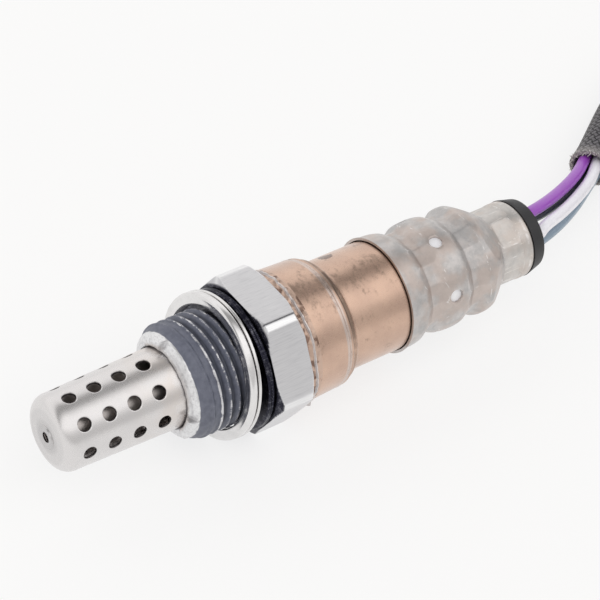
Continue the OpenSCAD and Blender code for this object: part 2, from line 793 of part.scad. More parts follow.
outer_shield();
inner_shield();
housing();
gasket();
weld_bead();
protective_sleeve();
cover_shell();
vent_membrane();
grommet();
sensing_element();
front_insulator();
talc_packing();
rear_insulator();
packing_ring();
contact_holder();
holder_ring();
contact_clip(0, 1);  // contact_clip_1
contact_clip(0, 0);  // contact_clip_2
contact_clip(1, 0);  // contact_clip_3
contact_clip(1, 1);  // contact_clip_4
color("mediumpurple") wire(0, purple_route);  // wire_purple
color("white") wire(1, white_route);  // wire_white
color("lightslategray") wire(2, blue_grey_route);  // wire_blue_grey
color("#26262c") wire(3, black_route);  // wire_black
braided_sleeve();
sleeve_coil();
color("mediumpurple") tail(0);  // tail_purple
color("white") tail(1);  // tail_white
color("lightslategray") tail(2);  // tail_blue_grey
color("#26262c") tail(3);  // tail_black
connector_housing();
terminal_lock();
rear_seal();
terminal(0);  // terminal_1
terminal(1);  // terminal_2
terminal(2);  // terminal_3
terminal(3);  // terminal_4
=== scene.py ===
# %% [markdown]
# # A four-wire oxygen sensor
# The sensor screws into an exhaust pipe. It lies here on one flat of its hexagon, as in a
# product photograph, with its perforated tip towards the camera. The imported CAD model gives
# every piece its place and size; this file gives each visible piece its finer surface and
# its finish.

# %% Load the frame
from itertools import combinations

import bmesh
import bpy
import numpy as np
from mathutils import Matrix, Vector


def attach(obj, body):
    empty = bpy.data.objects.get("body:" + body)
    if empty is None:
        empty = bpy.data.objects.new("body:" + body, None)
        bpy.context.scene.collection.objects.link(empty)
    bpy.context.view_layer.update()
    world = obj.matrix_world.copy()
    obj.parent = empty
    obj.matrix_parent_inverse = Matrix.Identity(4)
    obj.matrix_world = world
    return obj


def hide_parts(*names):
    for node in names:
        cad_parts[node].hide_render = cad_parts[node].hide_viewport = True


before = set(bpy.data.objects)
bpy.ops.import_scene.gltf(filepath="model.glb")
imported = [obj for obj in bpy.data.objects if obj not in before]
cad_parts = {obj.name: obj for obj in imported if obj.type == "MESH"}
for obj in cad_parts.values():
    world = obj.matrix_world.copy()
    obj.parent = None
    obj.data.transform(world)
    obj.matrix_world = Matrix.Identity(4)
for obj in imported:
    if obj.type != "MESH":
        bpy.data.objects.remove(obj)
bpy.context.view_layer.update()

# %% [markdown]
# ## Stations along the axis
# The round pieces share one axis, so a point on them is told by three numbers: its station
# along the axis from the tip, its radius, and its direction, turned from the top towards the
# camera's side. All three are in millimetres and degrees, as on a drawing. One function
# turns them into metres in the part's frame, so no other place needs to know where the
# sensor lies.

# %% Sensor coordinates
MM = 0.001
LENGTH = 86.35  # from the tip to the end of the grommet
FLAT_R = 11.0   # the hexagon is 22 mm across its flats
AXIS_HEIGHT = FLAT_R


def place(station, radius, direction):
    """Points of the part's frame: x is the station less half the length, y is minus
    radius times sine, and z is the axis height plus radius times cosine."""
    s, r, a = np.broadcast_arrays(station, radius, np.radians(direction))
    return MM * np.stack([s - LENGTH / 2, -r * np.sin(a), AXIS_HEIGHT + r * np.cos(a)], -1)


# %% [markdown]
# ## The camera
# The photograph was taken from about 0.4 m with a long lens, from in front of the tip and
# above. The camera's three axes are worked out from an azimuth, an elevation and a roll,
# which is how a photographer would set a tripod head.

# %% Camera
AZIMUTH, ELEVATION, ROLL = -41.26, 42.94, 7.92
DISTANCE = 0.400
TARGET = place(43.29, 6.09, 0)
IMAGE_PIXELS, FOCAL_PIXELS = 600, 2750.4
FILM_WIDTH = 36


def linked(name, data):
    """A new object with that data, linked to the scene."""
    thing = bpy.data.objects.new(name, data)
    bpy.context.scene.collection.objects.link(thing)
    return thing


def camera_axes(azimuth, elevation, roll):
    """Right, up and back vectors. Back is (sin a cos e, -cos a cos e, sin e); right lies
    level at first, and the pair right and up is then turned by the roll."""
    a, e, t = np.radians([azimuth, elevation, roll])
    back = np.array([np.sin(a) * np.cos(e), -np.cos(a) * np.cos(e), np.sin(e)])
    level = np.array([np.cos(a), np.sin(a), 0])
    upright = np.cross(back, level)
    right = np.cos(t) * level + np.sin(t) * upright
    return right, np.cross(back, right), back


right, up, back = camera_axes(AZIMUTH, ELEVATION, ROLL)
camera = linked("camera", bpy.data.cameras.new("camera"))
camera.data.sensor_width = FILM_WIDTH
camera.data.lens = FILM_WIDTH * FOCAL_PIXELS / IMAGE_PIXELS
camera.data.clip_start = 0.01
turned = Matrix([[right[i], up[i], back[i]] for i in range(3)]).to_4x4()
camera.matrix_world = Matrix.Translation(Vector(TARGET + DISTANCE * back)) @ turned
bpy.context.scene.camera = camera
print("camera at", np.round(TARGET + DISTANCE * back, 4).tolist())

# %% [markdown]
# ## Finishes as expressions
# A finish is a small sum: grime times noise, plus a tint where the metal ran hot. Written as
# node links such a sum is hard to read, so one class wraps a socket and lets Python's own
# signs add the Math nodes. Colours are kept out of the Math nodes, which would turn them
# grey, and go through Mix nodes.

# %% A socket that takes part in sums
class Term:
    """One output of a material's nodes."""

    def __init__(self, finish, socket):
        self.finish, self.socket = finish, socket

    def _math(self, operation, *values):
        return self.finish.add("Math", {"operation": operation}, dict(enumerate(values)))

    def __add__(self, other):
        return self._math("ADD", self, other)

    def __sub__(self, other):
        return self._math("SUBTRACT", self, other)

    def __rsub__(self, other):
        return self._math("SUBTRACT", other, self)

    def __mul__(self, other):
        return self._math("MULTIPLY", self, other)

    def __abs__(self):
        return self._math("ABSOLUTE", self)

    def sin(self):
        return self._math("SINE", self)

    def clip(self):
        return self.finish.add("Clamp", {}, {"Value": self})

    def step(self, low, high):
        """0 below low, 1 above high and a smooth rise between them."""
        settings = {"interpolation_type": "SMOOTHSTEP"}
        return self.finish.add("MapRange", settings, {"Value": self, 1: low, 2: high})

    __radd__, __rmul__ = __add__, __mul__


# %% A finish
class Finish:
    """A material: a Principled shader and the nodes that feed it."""

    def __init__(self, name, color=(0.5, 0.5, 0.5), **constants):
        self.material = bpy.data.materials.new(name)
        self.material.use_nodes = True
        self.tree = self.material.node_tree
        self.shader = self.tree.nodes["Principled BSDF"]
        self.set("Base Color", (*color, 1))
        for socket, value in constants.items():
            self.set(socket.replace("_", " "), value)

    def add(self, kind, settings=None, values=None, out=0):
        """A node of any kind: its settings first, then the values or links of its sockets."""
        node = self.tree.nodes.new("ShaderNode" + kind)
        for key, value in (settings or {}).items():
            setattr(node, key, value)
        for key, value in (values or {}).items():
            self.plug(node.inputs[key], value)
        return Term(self, node.outputs[out])

    def plug(self, socket, value):
        """A term is linked to the socket, and a plain value is written into it."""
        if isinstance(value, Term):
            self.tree.links.new(value.socket, socket)
        else:
            socket.default_value = value

    def set(self, socket, value):
        self.plug(self.shader.inputs[socket], value)
        return self

    def where(self):
        """Position in the part's frame, in metres."""
        return self.add("TexCoord", out="Object")

    def parts(self, vector):
        """The three numbers of a vector."""
        node = self.add("SeparateXYZ", {}, {0: vector}).socket.node
        return [Term(self, number) for number in node.outputs]

    def behind(self, first, last):
        """0 in front of the first station, 1 behind the last, and a smooth rise between."""
        x = self.parts(self.where())[0]
        return x.step(MM * (first - LENGTH / 2), MM * (last - LENGTH / 2))

    def attribute(self, name):
        """A number that the mesh carries at each point."""
        return self.add("Attribute", {"attribute_name": name}, out="Fac")

    def noise(self, size, stretch=(1, 1, 1), detail=4.0, roughness=0.55, at=(0, 0, 0)):
        """Noise from 0 to 1 whose blotches are size millimetres wide, times stretch."""
        scale = tuple(1000 / size / k for k in stretch)
        spot = self.add("Mapping", {}, {"Vector": self.where(), "Location": at, "Scale": scale})
        values = {"Vector": spot, "Scale": 1.0, "Detail": detail, "Roughness": roughness}
        return self.add("TexNoise", {}, values)

    def mix(self, share, first, second):
        """The first colour, with that share of the second."""
        first, second = [c if isinstance(c, Term) else (*c, 1) for c in (first, second)]
        return self.add("Mix", {"data_type": "RGBA"}, {0: share, 6: first, 7: second}, out=2)

    def bump(self, height, depth):
        """A dent or rise of depth millimetres where height goes from 0 to 1."""
        values = {"Height": height, "Distance": depth * MM, "Strength": 1.0}
        return self.set("Normal", self.add("Bump", {}, values))


# %% [markdown]
# ## Surfaces from grids
# Nearly every piece is a sheet: an outer side, an inner side a sheet's thickness behind it,
# and edges that join them. So a piece is worked out as one array of outer points and one of
# inner points over the same grid. Wherever the grid has an open edge, such as round a hole,
# a wall is added between the two sides, and the piece is closed without any modifier.

# %% Grids, welding and sheets
def grid_faces(rows, columns):
    """Faces of a grid of points, row after row, whose last column joins the first."""
    i, j = np.meshgrid(np.arange(rows - 1), np.arange(columns), indexing="ij")
    k = (j + 1) % columns
    quads = [i * columns + j, i * columns + k, (i + 1) * columns + k, (i + 1) * columns + j]
    return np.stack(quads, -1).reshape(-1, 4)


def joined(parts):
    """Several (points, faces) as one, with the face numbers moved on."""
    starts = np.cumsum([0] + [len(p) for p, _ in parts[:-1]])
    faces = np.concatenate([f + n for (_, f), n in zip(parts, starts)])
    return np.concatenate([p for p, _ in parts]), faces


def welded(key, faces, *sides):
    """Points whose keys agree become one, in the faces and in each side."""
    _, first, back_to = np.unique(np.round(key, 5), axis=0, return_index=True, return_inverse=True)
    return (back_to.reshape(-1)[faces], *[side[first] for side in sides])


def closed_sheet(outer, inner, faces):
    """Both sides of a sheet, and a wall along each open edge: an edge is open when no
    face runs along it the other way."""
    n = len(outer)
    edges = np.stack([faces, np.roll(faces, -1, axis=1)], -1).reshape(-1, 2)
    edges = edges[edges[:, 0] != edges[:, 1]]
    lonely = ~np.isin(edges[:, 0] * n + edges[:, 1], edges[:, 1] * n + edges[:, 0])
    a, b = edges[lonely].T
    walls = np.stack([b, a, a + n, b + n], -1)
    return np.concatenate([outer, inner]), np.concatenate([faces, faces[:, ::-1] + n, walls])


# %% From arrays to an object
def dressed(mesh, finish, sharp):
    """The mesh with its finish, shaded smooth but crisp where faces meet at more than
    sharp degrees."""
    mesh.polygons.foreach_set("use_smooth", np.ones(len(mesh.polygons), bool))
    mesh.set_sharp_from_angle(angle=np.radians(sharp))
    mesh.materials.clear()
    mesh.materials.append(finish.material)
    return mesh


def build(name, points, faces, finish, *replaces, sharp=38, marks=None):
    """A mesh object on the body root, in place of the CAD nodes that it replaces. Marks
    are numbers at each point that the finish reads by name."""
    mesh = bpy.data.meshes.new(name)
    corners = [list(dict.fromkeys(face)) for face in faces.tolist()]
    mesh.from_pydata(points.tolist(), [], corners)
    for mark, values in (marks or {}).items():
        layer = mesh.attributes.new(mark, "FLOAT", "POINT")
        layer.data.foreach_set("value", values.astype(np.float32))
    mesh.update()
    piece = linked(name, dressed(mesh, finish, sharp))
    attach(piece, "root")
    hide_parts(*replaces)
    triangles = sum(len(p.vertices) - 2 for p in mesh.polygons)
    print(f"{name}: {triangles} triangles")
    return piece


def profile(points, steps=1):
    """A profile of (station, radius) corners with each stretch cut into steps."""
    p = np.array(points, float)
    t = np.linspace(0, 1, steps, endpoint=False)[:, None]
    inner = [a + (b - a) * t for a, b in zip(p[:-1], p[1:])]
    return np.concatenate(inner + [p[-1:]])


def inside(path, thickness):
    """The path moved square to itself, to the side of the axis for one that runs to the
    rear: each point moves along the mean normal of the two stretches that meet there,
    further at a sharp corner."""
    d = np.diff(path, axis=0)
    n = np.stack([d[:, 1], -d[:, 0]], -1) / np.linalg.norm(d, axis=1, keepdims=True)
    before, after = np.vstack([n[:1], n]), np.vstack([n, n[-1:]])
    share = 1 + (before * after).sum(1, keepdims=True)
    return path + thickness * (before + after) / share


# %% [markdown]
# ## The lead
# Four insulated wires leave the grommet, bend down together and enter a woven sleeve that lies on
# the table. The photograph shows the sleeve only up to the edge of the picture, so the rest is put
# away as a small coil just outside it, with its connector. Each wire is a tube swept along a smooth
# curve through a few listed points. They are the CAD source's own, or lie up to 1.2 mm from them
# where that parts the wires or looks truer.

# %% Smooth routes
def smooth_route(points, step=0.8):
    """A Catmull-Rom curve through the points: each stretch is a cubic whose end slopes
    are half the way from the point before to the point after. Points lie about one step
    apart, in millimetres."""
    p = np.array(points, float)
    p = np.vstack([2 * p[0] - p[1], p, 2 * p[-1] - p[-2]])
    out = []
    for a, b, c, d in zip(p[:-3], p[1:-2], p[2:-1], p[3:]):
        n = max(2, int(round(np.linalg.norm(c - b) / step)))
        t = np.linspace(0, 1, n, endpoint=False)[:, None]
        out.append(0.5 * (2 * b + (c - a) * t + (2 * a - 5 * b + 4 * c - d) * t**2
                          + (3 * b - a - 3 * c + d) * t**3))
    return np.concatenate(out + [p[-2:-1]])


def route_length(route):
    """The sum of the distances from each point to the next."""
    return float(np.linalg.norm(np.diff(route, axis=0), axis=1).sum())


# %% Tubes
def swept(route, radius, sides):
    """A tube: at each point of the route a circle in the plane square to the mean
    direction, with its start level so that the tube doesn't twist. Radius may be an
    array, one row for each point of the route."""
    d = np.gradient(route, axis=0)
    d /= np.linalg.norm(d, axis=1, keepdims=True)
    across = np.cross(d, [0, 0, 1.0])
    across /= np.linalg.norm(across, axis=1, keepdims=True)
    over = np.cross(across, d)
    a = np.linspace(0, 2 * np.pi, sides, endpoint=False)
    r = np.broadcast_to(radius, (len(route), sides))[..., None]
    ring = np.cos(a)[:, None] * across[:, None] + np.sin(a)[:, None] * over[:, None]
    return route[:, None] + r * ring


def capped(tube):
    """A tube's points and faces, with a flat fan over each end."""
    rows, sides = tube.shape[:2]
    points = np.concatenate([tube.reshape(-1, 3), tube[:1].mean(1), tube[-1:].mean(1)])
    j = np.arange(sides)
    k = (j + 1) % sides
    last_row, hub = (rows - 1) * sides, np.full(sides, rows * sides)
    start = np.stack([k, j, hub, hub], -1)
    end = np.stack([last_row + j, last_row + k, hub + 1, hub + 1], -1)
    return points, np.concatenate([grid_faces(rows, sides), start, end])


# %% The wires' routes
WIRE_D = 1.9
WIRE_PITCH_R = 2.85
IN_COVER = np.array([65.5, 72, 79, LENGTH])  # stations of the straight start
ROUTES = {
    "purple": (-20, [[46.9, 1.8, 12.8], [52.5, 4.1, 10.8], [58.8, 7.2, 8.5], [64.6, 10.5, 6.5],
                     [70.6, 14.8, 4.1]]),
    "white": (70, [[47.1, -1.15, 11.8], [53.1, 1.5, 9.9], [59.8, 5.0, 7.6], [66.0, 8.7, 5.8],
                   [71.7, 13.1, 4.2]]),
    "blue_grey": (160, [[47.1, -0.2, 7.7], [53.2, 2.0, 6.6], [59.6, 5.15, 5.35], [65.6, 8.85, 3.8],
                        [72.1, 12.9, 2.2]]),
    "black": (250, [[46.9, 3.3, 9.3], [52.6, 5.1, 7.4], [58.9, 7.7, 5.2], [64.7, 10.6, 3.3],
                    [70.9, 14.5, 2.1]]),
}


def wire_route(direction, points):
    """Straight through cover and grommet at the wire's own direction, then as placed."""
    return smooth_route(np.vstack([place(IN_COVER, WIRE_PITCH_R, direction) / MM, points]))


# %% Insulation
WIRE_COLORS = {"purple": (0.37, 0.08, 0.57), "white": (0.95, 0.94, 1.0),
               "blue_grey": (0.25, 0.33, 0.42), "black": (0.012, 0.012, 0.028)}


def insulation(name, color):
    """Smooth, slightly waxy plastic with faint rubbed patches."""
    f = Finish("insulation_" + name, Specular_IOR_Level=0.45, Coat_Weight=0.25,
               Coat_Roughness=0.25)
    rubbed = f.noise(2.5, stretch=(3, 3, 1)).step(0.45, 0.75)
    f.set("Base Color", f.mix(rubbed * 0.25, color, tuple(0.75 * c + 0.08 for c in color)))
    f.set("Roughness", 0.32 + rubbed * 0.15)
    return f.bump(f.noise(0.6), 0.02)


INSULATION = {name: insulation(name, color) for name, color in WIRE_COLORS.items()}

# %% The four wires
wire_routes = {name: wire_route(*given) for name, given in ROUTES.items()}
for name, route in wire_routes.items():
    tube, faces = capped(swept(route, WIRE_D / 2, 20))
    wire = build(f"wire_{name}_run", MM * tube, faces, INSULATION[name], "wire_" + name)
    "wire_" + name
    way_out = place(LENGTH, WIRE_PITCH_R, ROUTES[name][0])
pairs = combinations(wire_routes.values(), 2)
gaps = [np.linalg.norm(a[:, None] - b, axis=2).min() - WIRE_D for a, b in pairs]
print("gaps between wires, mm:", np.round(gaps, 2).tolist())

# %% [markdown]
# The sleeve runs straight from its mouth, bends onto the outer turn of the coil, crosses to
# the inner turn a diameter inwards and ends there. The crossing follows a smooth step, so
# that the turns lie side by side and nowhere in each other.

# %% The braided sleeve's route
BRAID_D = 6.8
COIL_CENTRE = np.array([126.0, -3.3])
COIL_R = 36.5
COIL_TURN = 600                    # degrees
CROSSING, CROSSING_TURN = 275, 75  # where it starts, and how far it goes
MOUTH = np.array([71.14, 13.43])
HEADING = 33.5


def smooth_step(t):
    """0 below 0, 1 above 1, and three t squared less two t cubed between them."""
    t = np.clip(t, 0, 1)
    return t * t * (3 - 2 * t)


def around(angle):
    """The direction in the floor's plane at an angle in radians: cosine and sine."""
    return np.stack([np.cos(angle), np.sin(angle)], -1)


def braid_route():
    """A straight line at the heading, an arc that touches the coil's top, and turns
    whose radius falls by a diameter over the crossing."""
    h = np.radians(HEADING)
    top = COIL_CENTRE[1] + COIL_R
    corner = np.array([MOUTH[0] + (top - MOUTH[1]) / np.tan(h), top])
    reach = COIL_CENTRE[0] - corner[0]
    start = corner - reach * around(h)
    bend_r = reach / np.tan(h / 2)
    line = MOUTH + (start - MOUTH) * np.linspace(0, 1, 12, endpoint=False)[:, None]
    a = np.linspace(h, 0, 20, endpoint=False)
    arc = [COIL_CENTRE[0], top - bend_r] + bend_r * around(a + np.pi / 2)
    turn = np.linspace(0, COIL_TURN, 170)
    r = COIL_R - BRAID_D * smooth_step((turn - CROSSING) / CROSSING_TURN)
    turns = COIL_CENTRE + r[:, None] * around(np.radians(90 - turn))
    flat = np.concatenate([line, arc, turns])
    return np.column_stack([flat, np.full(len(flat), BRAID_D / 2 + 0.02)])


sleeve_route = smooth_route(braid_route(), 1.4)
print("sleeve:", round(route_length(sleeve_route)), "mm from its mouth to its end")

# %% [markdown]
# The real sleeve is woven from dark flat yarn, and its cut mouth frays into a pale fringe.
# The weave is far too fine to model thread by thread, so the tube carries two numbers at
# each point, the way along it and the way round it, and the finish draws two sets of
# slanting yarns that pass over and under each other.

# %% The woven finish
YARNS = 18  # of one slant, side by side round the sleeve


def woven():
    """Two families of slanting yarns. Where one is on top its height shows, and the
    checkerboard of their counts tells which one is on top."""
    f = Finish("woven_sleeve", Specular_IOR_Level=0.3, Sheen_Weight=0.35, Sheen_Roughness=0.4)
    along, way_round = f.attribute("along"), f.attribute("round")
    first = (along + way_round * YARNS) * np.pi
    second = (along - way_round * YARNS) * np.pi
    over = (first.sin() * second.sin()).step(-0.15, 0.15)
    yarn = abs(first.sin()) * over + abs(second.sin()) * (1 - over)
    fuzz = f.noise(0.35, detail=3)
    worn = f.noise(3.0).step(0.5, 0.8)
    dark = f.mix(yarn.step(0.3, 1.0) * (0.4 + fuzz), (0.008, 0.007, 0.01), (0.15, 0.14, 0.155))
    dark = f.mix(worn * 0.2, dark, (0.2, 0.19, 0.2))
    cut = (1 - (along * 0.5).clip()) * (fuzz * 1.6).clip()
    f.set("Base Color", f.mix(cut * 0.8, dark, (0.45, 0.42, 0.41)))
    f.set("Roughness", 0.62 + fuzz * 0.2)
    return f.bump(yarn + fuzz * 0.25, 0.16)


# %% The sleeve's cut mouth
SIDES = 48
RIM_ROWS = 14  # rows of points that the cut changes
way = np.r_[0, np.cumsum(np.linalg.norm(np.diff(sleeve_route, axis=0), axis=1))]
near_mouth = 1 - smooth_step(way[:RIM_ROWS] / way[RIM_ROWS - 1])[:, None, None]
heading = sleeve_route[1] - sleeve_route[0]
heading /= np.linalg.norm(heading)


def cut_back(tube):
    """The mouth's rim drawn out towards the sensor, more at the top, and flared."""
    middle = tube[:RIM_ROWS].mean(1, keepdims=True)
    spread = tube[:RIM_ROWS] - middle
    upward = spread[:, :, 2:] / (BRAID_D / 2)
    rim = middle + spread * (1 + 0.09 * near_mouth**4)
    rim -= near_mouth * (1.3 + 0.4 * upward) * heading
    rim[:, :, 2] = np.maximum(rim[:, :, 2], 0.02)
    return np.concatenate([rim, tube[RIM_ROWS:]])


# %% The sleeve
wall_in = cut_back(swept(sleeve_route[:RIM_ROWS], BRAID_D / 2 - 0.6, SIDES))
wall_out = cut_back(swept(sleeve_route, BRAID_D / 2, SIDES))
tube = np.concatenate([wall_in[::-1], wall_out])
points, faces = capped(tube)
way_in = way[:RIM_ROWS][::-1]
marks = {"along": np.r_[np.repeat(np.r_[-way_in, way], SIDES), way_in[0], way[-1]],
         "round": np.r_[np.tile(np.linspace(0, 1, SIDES, endpoint=False), len(tube)), 0, 0]}
sleeve = build("woven_sleeve", MM * points, faces, woven(), "braided_sleeve", "sleeve_coil",
               marks=marks)


# %% The frayed mouth
def fray(count=120, bits=4):
    """Short curled ends of yarn round the mouth, each a thin tube of four sides that
    leaves the rim and bends at random."""
    rng = np.random.default_rng(7)
    parts = []
    for _ in range(count):
        i = rng.integers(SIDES)
        rim = 0.5 * (wall_out[0, i] + wall_in[0, i]) + rng.uniform(-0.12, 0.12, 3)
        outward = wall_out[0, i] - wall_out[0].mean(0)
        outward /= np.linalg.norm(outward)
        way_on = rng.uniform(-0.2, 1.0) * outward - rng.uniform(0.2, 0.8) * heading
        way_on += rng.normal(0, 0.5, 3)
        way_on /= np.linalg.norm(way_on)
        bend = rng.normal(0, 0.35, 3)
        t = np.linspace(0, 1, bits)[:, None]
        line = rim + 0.1 * heading + rng.uniform(0.25, 0.65) * (way_on * t + bend * t**2)
        line[:, 2] = np.maximum(line[:, 2], 0.15)
        parts.append(capped(swept(line, 0.12 * (1 - 0.4 * t), 4)))
    return joined(parts)


points, faces = fray()
yarn_ends = Finish("frayed_yarn", (0.58, 0.54, 0.53), Roughness=0.8, Sheen_Weight=0.3)
fringe = build("frayed_mouth", MM * points, faces, yarn_ends)

# %% [markdown]
# ## Metal finishes
# All the metal that shows is steel. Its pieces differ in how they were made: drawn sheet,
# turned bar, a weld, a crimp. Drawing and turning leave fine lines, heat leaves a brown
# tint, and handling leaves dull patches. One function makes plain steel from a colour, a
# roughness and the strength and size of its patches.

# %% Steel
def steel(name, color, rough=0.3, mottle=0.2, size=3.0):
    """Satin metal: fine grain along the axis, and blotches of a darker tint."""
    f = Finish(name, Metallic=1.0)
    fine = f.noise(0.16, stretch=(6, 1, 1), detail=3)
    blotch = f.noise(size, detail=6, roughness=0.62)
    patch = f.noise(size * 0.3, detail=4, at=(3, 7, 1))
    share = (blotch + (patch - 0.5) * 0.5).step(0.38, 0.7) * mottle * 2
    f.set("Base Color", f.mix(share.clip(), color, tuple(0.8 * c for c in color)))
    f.set("Roughness", rough + (fine - 0.5) * 0.105 + blotch.step(0.4, 0.8) * 0.06)
    return f.bump(fine * 0.35 + patch * 0.5, 0.004)


# %% [markdown]
# ## The perforated shield
# It is deep-drawn from stainless sheet and punched, so its holes have slightly rolled
# edges. Each hole has a window of its own, 45 degrees wide and one pitch long. Inside the
# window rings of points go from the window's edge to the round rim, and the windows join
# without a seam. Drilling with a boolean would leave thin sliver faces there, and these
# show as dark streaks on polished metal.

# %% Holes in a sheet
HOLE_R = 1.05
RINGS = np.array([0, 0.3, 0.55, 0.75, 0.88, 0.95, 1.0])  # from a window's edge to the rim


def hole_window(phi, s, centre, radius, columns, rows):
    """Directions and stations of rings of points from the window phi[0] to phi[1], s[0]
    to s[1], inwards to a circle round the centre on a cylinder of the given radius."""
    a, b = np.linspace(*phi, columns + 1), np.linspace(*s, rows + 1)
    edge = np.concatenate([
        np.stack([a[:-1], np.full(columns, s[0])], -1),
        np.stack([np.full(rows, phi[1]), b[:-1]], -1),
        np.stack([a[:0:-1], np.full(columns, s[1])], -1),
        np.stack([np.full(rows, phi[0]), b[:0:-1]], -1)])
    scale = np.array([np.radians(radius), 1])
    ray = (edge - centre) * scale
    rim = centre + HOLE_R * ray / np.linalg.norm(ray, axis=1, keepdims=True) / scale
    t = RINGS[:, None, None]
    return (edge * (1 - t) + rim * t).reshape(-1, 2), grid_faces(len(RINGS), len(edge))


def band(phi0, stations, columns):
    """A plain band of full turns, as directions and stations."""
    a = phi0 + 360 / columns * np.arange(columns)
    grid = np.stack(np.meshgrid(stations, a, indexing="ij")[::-1], -1)
    return grid.reshape(-1, 2), grid_faces(len(stations), columns)


def rim_marks(parts):
    """1 at the points on the rim of a window's hole, which are its last ring, and 0
    elsewhere. The first and the last part are plain bands."""
    marks = [np.zeros(len(p)) for p, _ in parts]
    for mark in marks[1:-1]:
        mark[-len(mark) // len(RINGS):] = 1
    return np.concatenate(marks)


# %% The outer shield's profile
SHIELD_R = 6.0
HOLE_PITCH, HOLE_TURN = 4.1, 45
HOLE_ROWS = 3.75 + HOLE_PITCH * np.arange(4)
HOLE_COLUMNS = -2 + HOLE_TURN * np.arange(8)
WINDOW_POINTS = 12  # along each side of a window
FACE, NOSE_R = 0.25, 2.0
arc = np.radians(np.linspace(-90, 0, 17))
nose = np.stack([FACE + NOSE_R * (1 + np.sin(arc)), 3.85 + NOSE_R * np.cos(arc)], -1)
shield_line = np.concatenate([
    profile([(0.1, 0.8), (0, 0.95), (0, 1.8), (0.15, 1.92), (0.15, 2.3), (FACE, 3.0)], 3), nose,
    profile([(6, 5.92), (12, 6.05), (18.4, 6.2), (19.8, 6.2), (20.02, 6.3), (20.1, 6.5),
             (20.1, 7)], 4)])


# %% The outer shield's sheet
def shield_sheet():
    """Windows with holes between plain bands. The way along the sheet is counted in
    points of its line, because its ends stand square to the axis. The outer side dips by
    0.07 mm at each hole's rim."""
    count = np.arange(len(shield_line))
    half_pitch, half_turn = HOLE_PITCH / 2, HOLE_TURN / 2
    front, rear = HOLE_ROWS[0] - half_pitch, HOLE_ROWS[-1] + half_pitch
    first, last = np.searchsorted(shield_line[:, 0], [front - 0.01, rear + 0.01])

    def at(station):
        near = slice(first - 2, last + 2)
        return np.interp(station, shield_line[near, 0], count[near])

    phi0, columns = HOLE_COLUMNS[0] - half_turn, len(HOLE_COLUMNS) * WINDOW_POINTS
    parts = [band(phi0, np.r_[count[:first], at(front)], columns)]
    for s in HOLE_ROWS:
        for phi in HOLE_COLUMNS:
            window = (phi - half_turn, phi + half_turn), (s - half_pitch, s + half_pitch)
            uv, faces = hole_window(*window, (phi, s), SHIELD_R, WINDOW_POINTS, WINDOW_POINTS)
            uv[:, 1] = at(uv[:, 1])
            parts.append((uv, faces))
    parts.append(band(phi0, np.r_[at(rear), count[last:]], columns))
    uv, faces = joined(parts)
    phi, n = uv.T
    rim = rim_marks(parts)
    sides = []
    for line, dip in ((shield_line, 0.07), (inside(shield_line, 0.4), 0)):
        s, r = np.interp(n, count, line[:, 0]), np.interp(n, count, line[:, 1])
        sides.append(np.stack([s, r - dip * rim, phi], -1))
    faces, outer, inner, rim = welded(place(n, SHIELD_R, phi) / MM, faces, *sides, rim)
    points, faces = closed_sheet(place(*outer.T), place(*inner.T), faces)
    return points, faces, {"hole_wall": np.tile(rim, 2)}


# %% The outer shield's finish
def shield_finish():
    """Stainless sheet with a blasted grain and a faint straw tint towards the collar. The flat face
    is darkened as painted shade, and the sheared hole walls carry painted shade too."""
    f = Finish("shield_steel", Metallic=1.0)
    grain = f.noise(0.13, stretch=(2.5, 1, 1), detail=3)
    cloud = f.noise(3.2, detail=6, roughness=0.65)
    spot = f.noise(0.5, detail=4, at=(5, 2, 8))
    warm = f.behind(9.175, 19.675) * cloud.step(0.3, 0.65) * 0.5
    base = f.mix(cloud.step(0.35, 0.75) * 0.3, (0.75, 0.73, 0.725), (0.66, 0.65, 0.655))
    base = f.mix((grain - 0.4) * 0.35, base, (0.6, 0.59, 0.59))
    # Painted shade: the flat face at the tip is darkened.
    face = 1 - f.behind(0.055, 0.375)
    base = f.mix(face * (0.5 + cloud * 0.4), base, (0.47, 0.46, 0.46))
    base = f.mix(warm, base, (0.78, 0.69, 0.62))
    # Painted shade: the walls inside the holes are darkened nearly to black.
    painted_hole_shade = f.attribute("hole_wall").step(0.8, 0.95)
    f.set("Base Color", f.mix(painted_hole_shade, base, (0.13, 0.12, 0.12)))
    f.set("Roughness", 0.27 + cloud.step(0.4, 0.8) * 0.06 + (grain - 0.5) * 0.1 + painted_hole_shade * 0.2)
    return f.bump(grain * 0.6 + spot * 0.3, 0.006)


points, faces, marks = shield_sheet()
build("perforated_shield", points, faces, shield_finish(), "outer_shield", sharp=50, marks=marks)

# %% [markdown]
# ## The housing
# One turned and crimped steel piece: a collar whose edge is pressed over the shield, the
# thread with its paste, a neck, the seat flange and the hexagon. It is one grid of
# directions and of points along a profile; the crimp, the thread and the hexagon change
# the radius with the direction. Where two forms meet, a rounded minimum of their radii
# takes the place of a fillet, and a sum of waves makes pressed and welded metal uneven.

# %% Rounding and unevenness
WAVES = 16


def wrapped(angle, period):
    """The angle's distance from the nearest multiple of the period, with its sign."""
    return (angle + period / 2) % period - period / 2


def smooth_min(a, b, k):
    """The smaller of the two, rounded over about k where they cross."""
    h = np.clip(0.5 + 0.5 * (b - a) / k, 0, 1)
    return b * (1 - h) + a * h - k * h * (1 - h)


def bell(x, width):
    """1 at 0, falling to both sides: e to minus the square of x over the width."""
    return np.exp(-(x / width) ** 2)


def uneven(direction, station, seed, turns=12, length=2.0):
    """Unevenness of about -1 to 1: the mean of waves with whole numbers of periods round
    the axis and periods of at least the given length along it, scaled up."""
    rng = np.random.default_rng(seed)
    n = rng.integers(0, turns, WAVES)
    k = rng.uniform(-2 * np.pi / length, 2 * np.pi / length, WAVES)
    start = rng.uniform(0, 6.28, WAVES)
    angle = np.radians(direction)[..., None] * n + np.asarray(station)[..., None] * k + start
    return np.sin(angle).mean(-1) * np.sqrt(WAVES) * 0.7


